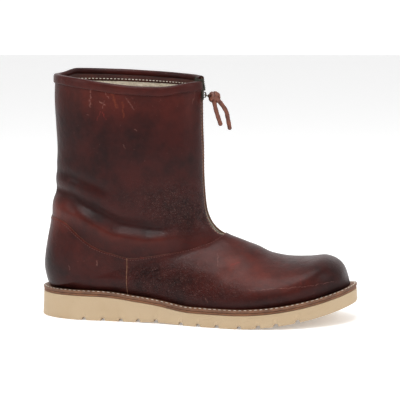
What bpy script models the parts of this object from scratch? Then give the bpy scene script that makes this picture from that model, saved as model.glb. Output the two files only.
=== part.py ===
"""Front-zip leather boot for the right foot, standing on its sole.

Lengths are metres. X runs from heel to toe, Y from the outer to the inner side, Z is up.
Plan positions are first worked out from the heel end of the sole, then centred.
"""

import math

import bmesh
import bpy
import numpy as np
from mathutils import Matrix, Vector

# Driving sizes

sole_length = 0.312
ball_width = 0.111
heel_thickness = 0.0233
forefoot_thickness = 0.0124
toe_spring = 0.0185
arch_rise = 0.0012
sole_taper = 0.0012
sole_corner = 0.0012
groove_depth = 0.0028
groove_width = 0.0052
midsole_thickness = 0.0021
midsole_inset = 0.0014
welt_thickness = 0.0024
welt_inset = 0.0010
welt_band = 0.0130
feather_inset = 0.0085
insole_thickness = 0.0030
insole_clearance = 0.0010
seat_gap = 0.0003
upper_height = 0.2080
upper_wall = 0.0026
panel_step = 0.0011
collar_dip = 0.0055
collar_rise = 0.0045
fold_depth = 0.0040
binding_leather = 0.0011
binding_outside = 0.0072
binding_inside = 0.0040
slit_half = 0.0033
slit_spread = 0.0036
tape_half = 0.0110
tape_thickness = 0.0008
tape_middle = 0.0007
tape_clearance = 0.0011
tooth_pitch = 0.0035
tooth_reach = 0.0005
tooth_root = 0.0011
tooth_spine = 0.0018
tooth_height = 0.0014
slider_length = 0.0105
slider_width = 0.0054
slider_height = 0.0020
slider_from_top = 0.0167
bridge_length = 0.0037
bridge_leg = 0.0007
bridge_width = 0.0014
bridge_room = 0.0017
bridge_top = 0.0006
pull_width = 0.0044
pull_window = 0.0026
pull_bar = 0.0008
pull_clearance = 0.0004
pull_end = 0.0012
pull_hang = math.radians(76)
knot_size = (0.0112, 0.0098, 0.0128)
thong_width = 0.0042
thong_thickness = 0.0017

# The thong's two tails below its knot: plan x from the heel, y, and height, chosen by hand

TAIL_OUTER = (
    (0.1751, -0.0025, 0.2073),
    (0.1767, -0.0030, 0.2009),
    (0.1788, -0.0032, 0.1943),
    (0.1812, -0.0030, 0.1869),
)
TAIL_INNER = (
    (0.17905, 0.0015, 0.2100),
    (0.1827, 0.0021, 0.2050),
    (0.1853, 0.0024, 0.2005),
    (0.1869, 0.0026, 0.1932),
    (0.1889, 0.0024, 0.1825),
)

# Sole plan, in shares: place along the length, half width and centre line over the ball width

SOLE = (
    # along, half, centre
    (0.00, 0.332, 0.000),
    (0.12, 0.332, 0.000),
    (0.22, 0.336, -0.010),
    (0.32, 0.345, -0.022),
    (0.42, 0.377, -0.031),
    (0.52, 0.430, -0.040),
    (0.60, 0.474, -0.041),
    (0.66, 0.497, -0.038),
    (0.74, 0.500, -0.028),
    (0.80, 0.485, -0.016),
    (1.00, 0.470, 0.045),
)
heel_cap = 0.17
toe_cap_from = 0.76
toe_cap_power = 1.9
spring_from = 0.62
wedge_from = 0.20
wedge_to = 0.52
arch_from = 0.30
arch_to = 0.50

# Tread grooves, as shares of the length

GROOVES = (0.160, 0.222, 0.280, 0.336, 0.394, 0.476, 0.532, 0.592, 0.662, 0.720, 0.773, 0.836)

# Sections of the upper, from the collar down to the heel seat and on along the foot to the toe.
# Each section's plane holds a back point, or a point of the sole edge, and a front point.
# back_x and front_x are shares of the sole's length, heights are over the welt as shares of
# upper_height, half is a share of ball_width, widest is where along the section it is widest,
# power is the roundness. From the row heel_seat on, the back point runs along the sole edge.

SECTIONS = (
    # back_x, back_z, front_x, front_z, half, widest, power
    (0.0550, 0.995, 0.5215, 1.014, 0.332, 0.45, 1.85),
    (0.0520, 0.883, 0.5225, 0.915, 0.334, 0.45, 1.95),
    (0.0555, 0.763, 0.5220, 0.809, 0.336, 0.45, 2.05),
    (0.0585, 0.648, 0.5235, 0.699, 0.336, 0.45, 2.10),
    (0.0530, 0.547, 0.5235, 0.598, 0.333, 0.44, 2.10),
    (0.0480, 0.460, 0.5265, 0.501, 0.329, 0.42, 2.10),
    (0.0395, 0.384, 0.5320, 0.425, 0.324, 0.38, 2.10),
    (0.0350, 0.308, 0.5420, 0.379, 0.320, 0.34, 2.10),
    (0.0240, 0.226, 0.5545, 0.348, 0.318, 0.31, 2.15),
    (0.0150, 0.144, 0.5690, 0.326, 0.318, 0.28, 2.20),
    (0.0135, 0.077, 0.5850, 0.311, 0.318, 0.27, 2.20),
    (0.0280, 0.000, 0.6040, 0.297, 0.316, 0.27, 2.15),
    (0.0500, 0.000, 0.6200, 0.288, 0.318, 0.28, 2.10),
    (0.1180, 0.000, 0.6395, 0.276, 0.325, 0.31, 2.10),
    (0.2210, 0.000, 0.6620, 0.261, 0.335, 0.38, 2.08),
    (0.3520, 0.000, 0.6910, 0.242, 0.353, 0.45, 2.02),
    (0.5000, 0.000, 0.7310, 0.208, 0.388, 0.36, 2.02),
    (0.6460, 0.000, 0.7870, 0.181, 0.430, 0.26, 2.15),
    (0.7770, 0.000, 0.8480, 0.166, 0.420, 0.22, 2.25),
    (0.8830, 0.000, 0.9055, 0.154, 0.330, 0.25, 2.45),
    (0.9490, 0.000, 0.9500, 0.101, 0.190, 0.30, 2.40),
    (0.9720, 0.000, 0.9728, 0.004, 0.008, 0.30, 2.20),
)
heel_seat = 11
ridge_shift = 0.030

# Seam between shaft and foot panels, from back to front: shares of the length and of upper_height

SEAM = (
    # x, height over the welt
    (0.000, 0.345),
    (0.045, 0.334),
    (0.100, 0.318),
    (0.142, 0.268),
    (0.178, 0.226),
    (0.215, 0.197),
    (0.255, 0.182),
    (0.299, 0.172),
    (0.380, 0.196),
    (0.435, 0.222),
    (0.503, 0.256),
    (0.557, 0.284),
    (0.590, 0.309),
    (0.700, 0.360),
)

# Folds of the shaft over the ankle: each a line of x and height shares, with depth and width.
# Depth is a share of fold_depth, width a share of upper_height, side is -1 outer, 1 inner.

FOLDS = (
    # depth, width, side, line
    (-1.0, 0.030, -1,
     ((0.02, 0.47), (0.12, 0.445), (0.20, 0.385), (0.28, 0.330), (0.40, 0.325), (0.48, 0.350))),
    (0.75, 0.032, -1,
     ((0.02, 0.40), (0.14, 0.355), (0.25, 0.270), (0.36, 0.262), (0.45, 0.300), (0.50, 0.325))),
    (-0.80, 0.030, 1, ((0.02, 0.47), (0.14, 0.430), (0.26, 0.355), (0.40, 0.345), (0.49, 0.375))),
    (0.60, 0.032, 1, ((0.02, 0.40), (0.15, 0.350), (0.27, 0.290), (0.40, 0.282), (0.50, 0.330))),
    (-0.35, 0.024, -1, ((0.02, 0.56), (0.10, 0.545), (0.20, 0.500), (0.27, 0.455))),
)

SHAFT_SHARES = np.concatenate([np.linspace(0, 1, 14)[:-1], [0.985, 1]])
COUNTER_ROWS = 8
FOOT_ROWS = 25
RING_COLUMNS = 17
DENSE_ROWS = 330


def smooth(table, column, at):
    """Cubic through one column of a table, whose first column is the place along."""
    knots, values = np.array(table)[:, 0], np.array(table)[:, column]
    at = np.clip(at, knots[0], knots[-1])
    slopes = np.gradient(values, knots)
    i = np.clip(np.searchsorted(knots, at, side="right") - 1, 0, len(knots) - 2)
    step = knots[i + 1] - knots[i]
    u = (at - knots[i]) / step
    start = (1 + 2 * u) * (1 - u) ** 2 * values[i] + u * (1 - u) ** 2 * step * slopes[i]
    end = u * u * (3 - 2 * u) * values[i + 1] + u * u * (u - 1) * step * slopes[i + 1]
    return start + end


def ease(low, high, at):
    u = np.clip((at - low) / (high - low), 0, 1)
    return u * u * (3 - 2 * u)


# Sole heights and plan


def sole_half(x, inset):
    """Half width of the sole at x, brought in from its edge by inset."""
    s = np.clip((x - inset) / (sole_length - 2 * inset), 0, 1)
    heel = np.sqrt(np.clip(1 - np.clip(1 - s / heel_cap, 0, 1) ** 2, 0, 1))
    past = np.clip((s - toe_cap_from) / (1 - toe_cap_from), 0, 1)
    toe = np.clip(1 - past**toe_cap_power, 0, 1) ** (1 / toe_cap_power)
    return (smooth(SOLE, 1, s) * ball_width - inset) * heel * toe


def sole_centre(x):
    return smooth(SOLE, 2, x / sole_length) * ball_width


def sole_bottom(x):
    s = x / sole_length
    spring = toe_spring * (np.clip(s - spring_from, 0, None) / (1 - spring_from)) ** 2
    arch = arch_rise * ease(0, 1, 1 - np.abs(2 * (s - arch_from) / (arch_to - arch_from) - 1))
    return spring + arch


def sole_top(x):
    fall = ease(wedge_from, wedge_to, x / sole_length)
    return sole_bottom(x) + heel_thickness + (forefoot_thickness - heel_thickness) * fall


def midsole_bottom(x):
    return sole_top(x) + seat_gap


def welt_bottom(x):
    return midsole_bottom(x) + midsole_thickness + seat_gap


def welt_top(x):
    return welt_bottom(x) + welt_thickness


def edge_stations(inset, count):
    """Places along the sole, closer together at its round ends."""
    turn = np.linspace(0, math.pi, count)
    return inset + (sole_length - 2 * inset) * (1 - np.cos(turn)) / 2


PLAN = edge_stations(0, 200)
outer_side = (sole_centre(PLAN) - sole_half(PLAN, 0)).min()
inner_side = (sole_centre(PLAN) + sole_half(PLAN, 0)).max()
FRAME_SHIFT = np.array((sole_length / 2, (outer_side + inner_side) / 2, 0))


# Mesh helpers


def material(name, color, roughness, metallic=0.0):
    made = bpy.data.materials.new(name)
    made.use_nodes = True
    shader = made.node_tree.nodes["Principled BSDF"]
    shader.inputs["Base Color"].default_value = (*color, 1)
    shader.inputs["Roughness"].default_value = roughness
    shader.inputs["Metallic"].default_value = metallic
    return made


def piece(name, points, faces, finish, shift=FRAME_SHIFT, origin=(0, 0, 0)):
    """One object from points and faces, with coincident points joined and its faces turned out."""
    mesh = bpy.data.meshes.new(name)
    mesh.from_pydata((np.array(points) - shift - origin).tolist(), [], faces)
    shape = bmesh.new()
    shape.from_mesh(mesh)
    bmesh.ops.remove_doubles(shape, verts=shape.verts, dist=1e-6)
    bmesh.ops.recalc_face_normals(shape, faces=shape.faces)
    if shape.calc_volume(signed=True) < 0:
        bmesh.ops.reverse_faces(shape, faces=shape.faces)
    shape.to_mesh(mesh)
    shape.free()
    mesh.materials.append(finish)
    mesh.shade_smooth()
    mesh.set_sharp_from_angle(angle=math.radians(40))
    made = bpy.data.objects.new(name, mesh)
    made.location = origin
    boot.objects.link(made)
    return made


def loft(name, rings, finish, **place):
    """A solid through rings of equal count, closed by a flat face at each end."""
    count = len(rings[0])
    points = np.concatenate(rings)
    faces = [tuple(reversed(range(count))), tuple(len(points) - count + i for i in range(count))]
    for row in range(len(rings) - 1):
        for i in range(count):
            a, b = row * count + i, row * count + (i + 1) % count
            faces.append((a, b, b + count, a + count))
    return piece(name, points, faces, finish, **place)


def thicken(outer, inner, faces):
    """Faces of the shell between two surfaces that share their layout."""
    edges = {}
    for face in faces:
        for a, b in zip(face, face[1:] + face[:1]):
            edges[(a, b)] = edges.get((a, b), 0) + 1
    count = len(outer)
    walls = [(b, a, a + count, b + count) for a, b in edges if (b, a) not in edges]
    back = [tuple(i + count for i in reversed(face)) for face in faces]
    return np.concatenate([outer, inner]), faces + back + walls


def grid_faces(rows, columns):
    return [
        (r * columns + c, r * columns + c + 1, (r + 1) * columns + c + 1, (r + 1) * columns + c)
        for r in range(rows - 1)
        for c in range(columns - 1)
    ]


# Sole pieces


def plate(name, stations, inset, bottom, top, finish):
    """A flat layer of the sole's plan, with its own bottom and top heights."""
    rings = []
    for x in stations:
        half, middle = max(sole_half(x, inset), 2e-5), sole_centre(x)
        corners = ((-half, bottom), (half, bottom), (half, top), (-half, top))
        rings.append([(x, middle + y, height(x)) for y, height in corners])
    return loft(name, rings, finish)


def make_outsole(finish):
    corner = sole_corner
    smooth_places = edge_stations(corner, 46)
    grooves = np.array(GROOVES)[:, None] * sole_length
    sides = np.array((-0.5, -0.27, 0.27, 0.5)) * groove_width
    notched = (grooves + sides).ravel()
    near = np.abs(smooth_places[:, None] - grooves.ravel()).min(axis=1) < groove_width * 0.6
    stations = np.sort(np.concatenate([smooth_places[~near], notched]))
    rings = []
    for x in stations:
        depth = groove_depth * (np.abs(x - grooves).min() < groove_width * 0.3)
        low = sole_bottom(x) + depth
        wide = max(sole_half(x, 0), 4e-4)
        tread = max(sole_half(x, corner), 2e-4)
        rim = max(sole_half(x, sole_taper), 2e-4)
        section = ((-tread, low), (tread, low), (wide, low + corner), (rim, sole_top(x)))
        mirrored = [(-y, z) for y, z in reversed(section[2:])]
        rings.append([(x, sole_centre(x) + y, z) for y, z in (*section, *mirrored)])
    return loft("outsole", rings, finish)


def make_welt(finish):
    """A strip round the whole edge, its inner margin under the upper and the insole."""
    turn = np.linspace(0, 2 * math.pi, 96, endpoint=False)
    rings = []
    for angle in turn:
        ring = []
        for inset, height in (
            (welt_inset, welt_bottom),
            (welt_band, welt_bottom),
            (welt_band, welt_top),
            (welt_inset, welt_top),
        ):
            x = inset + (sole_length - 2 * inset) * (1 - math.cos(angle)) / 2
            y = sole_centre(x) + math.copysign(sole_half(x, inset), math.sin(angle))
            if math.sin(angle) ** 2 < 1e-12:
                y = sole_centre(x)
            ring.append((x, y, height(x)))
        rings.append(ring)
    points = np.concatenate(rings)
    count = len(points)
    faces = []
    for row in range(len(rings)):
        for i in range(4):
            a, b = row * 4 + i, row * 4 + (i + 1) % 4
            faces.append((a, b, (b + 4) % count, (a + 4) % count))
    return piece("welt", points, faces, finish)


# Surface of the upper


def section_curve(row, side, count=160):
    """Half of one section, from its back or sole edge to its front, evenly spaced.

    row is a place among the rows of SECTIONS, side is -1 on the outer side and 1 on the inner.
    """
    table = [(i, *values) for i, values in enumerate(SECTIONS)]
    back_x, back_z, front_x, front_z, half, widest, power = (
        float(smooth(table, column, row)) for column in range(1, 8)
    )
    seat_x = feather_inset
    back = np.array((back_x * sole_length, 0, 0))
    edge = 0.0
    if row >= heel_seat:
        along = (row - heel_seat) / (len(SECTIONS) - 1 - heel_seat)
        back[0] = seat_x + (sole_length - 2 * seat_x) * (1 - math.cos(math.pi * along)) / 2
        back_z = 0.0
        edge = float(sole_half(back[0], feather_inset))
    back[2] = welt_top(back[0]) + seat_gap + max(back_z, 0) * upper_height
    front = np.array((front_x * sole_length, 0, 0))
    front[2] = welt_top(front[0]) + seat_gap + front_z * upper_height
    half = max(half * ball_width, edge * 1.015)
    share = 2 / power
    start = math.asin(min((edge / half) ** (1 / share), 1))
    low = np.linspace(start, math.pi / 2, count)
    high = np.linspace(0, math.pi / 2, count)[1:]
    along_low = widest * (1 - (np.clip(np.cos(low), 0, 1) / math.cos(start)) ** share)
    out_low = half * np.sin(low) ** share
    along_high = widest + (1 - widest) * np.sin(high) ** share
    out_high = half * np.clip(np.cos(high), 0, 1) ** share
    along = np.concatenate([along_low, along_high])
    out = np.concatenate([out_low, out_high])
    flat = sole_centre(back[0]) * ease(heel_seat - 3, heel_seat + 1, row)
    ridge = ridge_shift * ball_width * ease(heel_seat, heel_seat + 6, row)
    middle = flat + (ridge - flat) * ease(0.1, 1, along)
    points = back + (front - back) * along[:, None]
    points[:, 1] = middle + side * out
    return points


def evenly(points, shares):
    """Points at shares of a curve's length."""
    run = np.concatenate([[0], np.cumsum(np.linalg.norm(np.diff(points, axis=0), axis=1))])
    return np.stack([np.interp(shares * run[-1], run, points[:, i]) for i in range(3)], axis=1)


def along_line(x, z, line):
    """Distance from points of the side view to a line of x and height shares, and the share along it."""
    knots = np.array(line) * (sole_length, upper_height)
    knots[:, 1] += welt_top(knots[:, 0])
    best = np.full(x.shape, np.inf)
    where = np.zeros(x.shape)
    for i, (a, b) in enumerate(zip(knots, knots[1:])):
        u = ((x - a[0]) * (b[0] - a[0]) + (z - a[1]) * (b[1] - a[1])) / ((b - a) @ (b - a))
        u = np.clip(u, 0, 1)
        far = np.hypot(x - a[0] - u * (b[0] - a[0]), z - a[1] - u * (b[1] - a[1]))
        where = np.where(far < best, (i + u) / (len(knots) - 1), where)
        best = np.minimum(best, far)
    return best, where


def shaped(points, side):
    """Adds the collar's low outer side and high inner side, and the folds over the ankle."""
    x, y, z = points[..., 0], points[..., 1], points[..., 2]
    shares = x / sole_length
    high = ease(0.55, 1, (z - welt_top(x)) / upper_height)
    if side < 0:
        z = z - collar_dip * high * ease(0.06, 0.36, shares) * (1 - ease(0.40, 0.53, shares))
    else:
        z = z + collar_rise * high * ease(0.056, 0.105, shares)
    push = np.zeros(x.shape)
    for depth, width, fold_side, line in FOLDS:
        if fold_side != side:
            continue
        far, where = along_line(x, z, line)
        fade = 1 - ease(0.65, 1.0, where)
        if depth > 0:
            fade = fade * ease(-0.05, 0.25, where)
        push = push + depth * fold_depth * np.exp(-((far / (width * upper_height)) ** 2)) * fade
    reach = np.clip(np.abs(y) / (0.1 * ball_width), 0, 1)
    back = np.where(shares < 0.15, -push * (1 - reach), 0)
    return np.stack([x + back, y + side * push * reach, z], axis=-1)


def half_surface(side, columns):
    """Dense rows of one side, from collar to toe."""
    rows = np.linspace(0, len(SECTIONS) - 1, DENSE_ROWS)
    even = np.linspace(0, 1, columns)
    shares = (even + (1 - np.cos(math.pi * even)) / 2) / 2
    dense = np.array([evenly(section_curve(row, side), shares) for row in rows])
    return rows, shaped(dense, side)


def read_rows(rows, dense, at):
    """Points of each column at its own row places, as an array of places by columns."""
    spot = np.interp(at, rows, np.arange(len(rows)))
    low = np.clip(spot.astype(int), 0, len(rows) - 2)
    part = (spot - low)[..., None]
    column = np.broadcast_to(np.arange(dense.shape[1]), at.shape)
    return dense[low, column] * (1 - part) + dense[low + 1, column] * part


def seam_rows(rows, dense):
    """Where each column crosses the seam between shaft and foot."""
    x, z = dense[..., 0], dense[..., 2]
    over = (z - welt_top(x)) / upper_height - smooth(SEAM, 1, x / sole_length)
    crossed = np.argmax(over < 0, axis=0)
    columns = np.arange(dense.shape[1])
    before, after = over[crossed - 1, columns], over[crossed, columns]
    return rows[crossed - 1] + (rows[crossed] - rows[crossed - 1]) * before / (before - after)


def surface_normals(points, side):
    """Outward normals of one side's grid."""
    across = np.gradient(points, axis=0)
    around = np.gradient(points, axis=1)
    normals = np.cross(across, around) * side
    length = np.linalg.norm(normals, axis=-1, keepdims=True)
    return normals / np.maximum(length, 1e-12)


def upper_grid(side):
    """One side of the upper: points, normals, and the row numbers of the seam and the heel seat."""
    rows, dense = half_surface(side, RING_COLUMNS)
    seam = seam_rows(rows, dense)
    shaft_rows = SHAFT_SHARES[:, None] * seam
    counter = np.linspace(0, 1, COUNTER_ROWS)
    first = 0.05
    counter_rows = seam + (heel_seat - seam) * np.maximum(counter, first / COUNTER_ROWS)[:, None]
    last = len(SECTIONS) - 1
    foot = np.linspace(0, 1, FOOT_ROWS + 1)[1:, None]
    foot_rows = heel_seat + (last - heel_seat) * foot + 0 * seam
    at = np.concatenate([shaft_rows, counter_rows, foot_rows])
    points = read_rows(rows, dense, at)
    seat = len(shaft_rows) + COUNTER_ROWS - 1
    return points, len(shaft_rows) - 1, seat


def open_slit(points, seam, side):
    """Draws the front columns back from the middle, down to the seam, more so low on the outer side."""
    for row in range(seam):
        ring = points[row]
        half = slit_half + slit_spread * (side < 0) * ease(0.5, 0.85, SHAFT_SHARES[row])
        steps = np.concatenate([[0], np.cumsum(np.linalg.norm(np.diff(ring, axis=0), axis=1))])
        points[row] = evenly(ring, steps / steps[-1] * (1 - half / steps[-1]))
    return points


def make_upper(finish):
    """One shell with a real wall, open at the collar, down the zip and underneath."""
    sides = {}
    for side in (-1, 1):
        points, seam, seat = upper_grid(side)
        sides[side] = open_slit(points, seam, side)
    rows, columns = sides[1].shape[:2]
    tip = (sides[-1][-1, 0] + sides[1][-1, 0]) / 2
    number = np.full((2, rows, columns), -1)
    skin = []
    for s, side in enumerate((-1, 1)):
        for r in range(rows - 1):
            for c in range(columns):
                shared_back = s == 1 and c == 0 and r <= seat
                shared_front = s == 1 and c == columns - 1 and r >= seam
                if shared_back or shared_front:
                    number[s, r, c] = number[0, r, c]
                    continue
                number[s, r, c] = len(skin)
                point = sides[side][r, c].copy()
                if c == 0 and r <= seat:
                    point[1] = (sides[-1][r, 0, 1] + sides[1][r, 0, 1]) / 2
                skin.append(point)
    number[:, rows - 1, :] = len(skin)
    skin.append(tip)
    faces = []
    for s in range(2):
        for r in range(rows - 1):
            for c in range(columns - 1):
                corners = (number[s, r, c], number[s, r, c + 1], number[s, r + 1, c + 1], number[s, r + 1, c])
                corners = list(dict.fromkeys(int(i) for i in corners))
                faces.append(tuple(corners if s else corners[::-1]))
    skin = np.array(skin)
    normals = np.zeros(skin.shape)
    for face in faces:
        a, b, c = (skin[i] for i in (face[0], face[1], face[2]))
        turn = np.cross(b - a, c - a)
        for i in face:
            normals[i] += turn
    feather = np.unique(np.concatenate([number[:, seat:, 0].ravel(), [len(skin) - 1]]))
    normals[feather, 2] = 0
    normals[-1] = (1, 0, 0)
    normals /= np.linalg.norm(normals, axis=1)[:, None]
    stepped = np.zeros(len(skin))
    stepped[np.unique(number[:, seam + 1 :, :])] = panel_step
    outer = skin + normals * stepped[:, None]
    inner = skin - normals * upper_wall
    for surface in (outer, inner):
        lowest = welt_top(surface[:, 0]) + seat_gap
        surface[:, 2] = np.maximum(surface[:, 2], lowest)
        surface[feather, 2] = lowest[feather]
    points, shell = thicken(outer, inner, faces)
    piece("upper", points, shell, finish)
    rim = np.concatenate([number[0, :2, ::-1], number[1, :2, 1:]], axis=1)
    return skin[rim], normals[rim[0]]


def make_binding(rim, normals, finish):
    """A folded strip over the collar's edge, from one side of the zip round to the other."""
    down = rim[1] - rim[0]
    down /= np.linalg.norm(down, axis=1)[:, None]
    near, far = seat_gap, seat_gap + binding_leather
    inside = -upper_wall
    section = (
        # down from the collar's edge, out from the upper's surface
        (binding_outside, near),
        (binding_outside, far),
        (0.0, far),
        (-0.7 * far, far * 0.75),
        (-far, 0.0),
        (-far, inside),
        (-0.7 * far, inside - far * 0.75),
        (0.0, inside - far),
        (binding_inside, inside - far),
        (binding_inside, inside - near),
        (-near, inside - near),
        (-near, near),
    )
    rings = [
        [edge + along * fall + out * normal for fall, out in section]
        for edge, along, normal in zip(rim[0], down, normals)
    ]
    loft("collar_binding", rings, finish)


# Zip down the front


def front_line(count):
    """The ridge of the shaft from collar to seam: points, steps down and outward directions."""
    rows, dense = half_surface(1, RING_COLUMNS)
    last = seam_rows(rows, dense)[-1]
    line = read_rows(rows, dense, np.tile(np.linspace(0, last, 400)[:, None], RING_COLUMNS))[:, -1]
    line[:, 1] = 0
    run = np.concatenate([[0], np.cumsum(np.linalg.norm(np.diff(line, axis=0), axis=1))])
    places = np.linspace(0, run[-1], count) if isinstance(count, int) else np.array(count)
    points = np.stack([np.interp(places, run, line[:, i]) for i in range(3)], axis=1)
    ahead = np.stack([np.interp(places + 0.001, run, line[:, i]) for i in range(3)], axis=1)
    behind = np.stack([np.interp(places - 0.001, run, line[:, i]) for i in range(3)], axis=1)
    down = (ahead - behind) / np.linalg.norm(ahead - behind, axis=1)[:, None]
    out = np.stack([-down[:, 2], 0 * places, down[:, 0]], axis=1)
    return places, points, down, out


def tape_depth(places):
    """Depth of the tapes' outer face: behind the upper, and behind the binding at the collar."""
    under_binding = 1 - ease(2.2 * binding_inside, 2.9 * binding_inside, places)
    return upper_wall + tape_clearance + (binding_leather + seat_gap) * under_binding


def make_tapes(finish):
    """Two strips of woven tape behind the edges of the slit."""
    far = np.array((tape_half, slit_half, tape_middle))
    shares = np.sort(np.append(SHAFT_SHARES[:-1], 0.06))
    for side, name in ((-1, "outer"), (1, "inner")):
        rows, dense = half_surface(side, 3 * RING_COLUMNS)
        at = shares[:, None] * np.full(dense.shape[1], seam_rows(rows, dense)[-1])
        grid = []
        for ring in read_rows(rows, dense, at):
            run = np.concatenate([[0], np.cumsum(np.linalg.norm(np.diff(ring, axis=0), axis=1))])
            grid.append(evenly(ring, 1 - far / run[-1]))
        grid = np.array(grid)
        places = np.concatenate([[0], np.cumsum(np.linalg.norm(np.diff(grid[:, 2], axis=0), axis=1))])
        normals = surface_normals(grid, -side)
        normals[:, -1, 1] = 0
        depth = tape_depth(places)[:, None, None]
        front = (grid - normals * depth).reshape(-1, 3)
        back = (grid - normals * (depth + tape_thickness)).reshape(-1, 3)
        points, faces = thicken(front, back, grid_faces(len(grid), len(far)))
        piece(f"zip_tape_{name}", points, faces, finish)


def make_teeth(finish):
    """Two rows of teeth that mesh in the middle, below the slider."""
    run = front_line(2)[0][-1]
    start = slider_from_top
    count = int((run - start - 2 * tooth_pitch) / tooth_pitch)
    gap = tooth_pitch / 2 - seat_gap
    for side, name in ((-1, "outer"), (1, "inner")):
        offset = 0 if side < 0 else tooth_pitch / 2
        edges = [start]
        for i in range(count):
            edges += [start + offset + i * tooth_pitch + 0.2 * seat_gap]
            edges += [edges[-1] + gap]
        places, points, _, out = front_line(edges)
        lines = np.array((-tooth_reach, tooth_root, tooth_spine)) * side
        surface = points[:, None] + np.stack([0 * lines, lines, 0 * lines], axis=1)
        low = (seat_gap - tape_depth(places))[:, None, None]
        bottom = (surface + out[:, None] * low).reshape(-1, 3)
        top = (surface + out[:, None] * (low + tooth_height)).reshape(-1, 3)
        faces = []
        for i, face in enumerate(grid_faces(len(edges), 3)):
            row, column = divmod(i, 2)
            if column == 1 or row % 2 == 1:
                faces.append(face)
        points, faces = thicken(top, bottom, faces)
        used = sorted({i for face in faces for i in face})
        number = {old: new for new, old in enumerate(used)}
        faces = [tuple(number[i] for i in face) for face in faces]
        piece(f"zip_teeth_{name}", points[used], faces, finish)


def block(name, low, high, finish=None, bevel=0.0):
    """A box between two corners of the slider's own axes: down, across and out."""
    shape = bmesh.new()
    bmesh.ops.create_cube(shape, size=1)
    size, middle = np.subtract(high, low), np.add(high, low) / 2
    for vert in shape.verts:
        vert.co = Vector(np.array(vert.co) * size + middle)
    mesh = bpy.data.meshes.new(name)
    shape.to_mesh(mesh)
    shape.free()
    made = bpy.data.objects.new(name, mesh)
    if finish is None:
        cutters.objects.link(made)
        made.hide_render = True
        made.display_type = "WIRE"
    else:
        mesh.materials.append(finish)
        boot.objects.link(made)
    if bevel:
        rounding = made.modifiers.new("rounded_edges", "BEVEL")
        rounding.width = bevel
        rounding.segments = 2
    return made


def join_or_cut(target, other, operation):
    step = target.modifiers.new(other.name, "BOOLEAN")
    step.operation = operation
    step.object = other
    step.solver = "EXACT"


def slider_axes():
    """The slider's place on the zip, as a matrix whose axes are down, across and out."""
    _, points, down, out = front_line([slider_from_top])
    place = Matrix((down[0], (0, 1, 0), out[0])).transposed().to_4x4()
    place.translation = Vector(points[0] - FRAME_SHIFT)
    return place


def make_slider(finish):
    half, low = slider_length / 2, -slider_height / 2
    side = slider_width / 2
    body = block("zip_slider", (-half, -side, low), (half, side, -low), finish, 0.0004)
    body.matrix_world = slider_axes()
    reach, leg = bridge_length / 2, bridge_length / 2 - bridge_leg
    top = -low + bridge_room
    bridge = block("bridge", (-reach, -bridge_width / 2, 0), (reach, bridge_width / 2, top + bridge_top))
    room = block("bridge_room", (-leg, -bridge_width, -low), (leg, bridge_width, top))
    for helper, operation in ((bridge, "UNION"), (room, "DIFFERENCE")):
        helper.matrix_world = body.matrix_world
        join_or_cut(body, helper, operation)


def pull_axes():
    """The pull's hinge in the bridge, with its first axis along the hanging pull."""
    place = slider_axes()
    hinge = place @ Matrix.Translation((0, 0, slider_height / 2 + bridge_room / 2))
    return hinge @ Matrix.Rotation(-pull_hang, 4, "Y")


def make_pull(finish):
    """A small metal frame round the bridge, its thin bar inside."""
    thick = pull_bar / 2
    reach = math.hypot(bridge_length / 2, bridge_room / 2 + bridge_top) + pull_clearance
    low, high = (-thick, -pull_width / 2, -thick), (reach + pull_end, pull_width / 2, thick)
    pull = block("pull_tab", low, high, finish)
    pull.matrix_world = pull_axes()
    side, deep = pull_window / 2, 2 * pull_bar
    window = block("pull_window", (thick, -side, -deep), (reach, side, deep))
    window.matrix_world = pull.matrix_world
    join_or_cut(pull, window, "DIFFERENCE")
    return reach + pull_end


def make_knot(from_hinge, finish):
    """The thong's knot against the end of the pull."""
    mesh = bpy.data.meshes.new("thong_knot")
    shape = bmesh.new()
    bmesh.ops.create_uvsphere(shape, u_segments=14, v_segments=9, radius=0.5)
    for vert in shape.verts:
        vert.co = Vector(np.array(vert.co) * knot_size)
    shape.to_mesh(mesh)
    shape.free()
    mesh.materials.append(finish)
    mesh.shade_smooth()
    knot = bpy.data.objects.new("thong_knot", mesh)
    along = pull_axes().to_3x3() @ Vector((1, 0, 0))
    reach = 1 / math.sqrt(sum((along[i] / (knot_size[i] / 2)) ** 2 for i in range(3)))
    knot.location = pull_axes().translation + along * (from_hinge + seat_gap + reach)
    boot.objects.link(knot)
    return knot.location


def make_tail(name, route, finish):
    """One flat tail of the thong along its route."""
    route = np.array(route)
    run = np.concatenate([[0], np.cumsum(np.linalg.norm(np.diff(route, axis=0), axis=1))])
    table = np.column_stack([run, route])
    places = np.linspace(0, run[-1], 12)
    points = np.stack([smooth(table, i, places) for i in (1, 2, 3)], axis=1)
    along = np.gradient(points, axis=0)
    along /= np.linalg.norm(along, axis=1)[:, None]
    out = np.stack([-along[:, 2], 0 * places, along[:, 0]], axis=1)
    flat = 0.3
    section = ((-1, -flat), (-1, flat), (-flat, 1), (flat, 1), (1, flat), (1, -flat), (flat, -1), (-flat, -1))
    wide, deep = np.array((0, thong_width / 2, 0)), thong_thickness / 2
    rings = [[point + wide * u + away * deep * v for u, v in section] for point, away in zip(points, out)]
    loft(name, rings, finish)


for old in list(bpy.data.objects):
    bpy.data.objects.remove(old)
boot = bpy.data.collections.new("leather_boot")
bpy.context.scene.collection.children.link(boot)
cutters = bpy.data.collections.new("cutters")
bpy.context.scene.collection.children.link(cutters)

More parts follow.
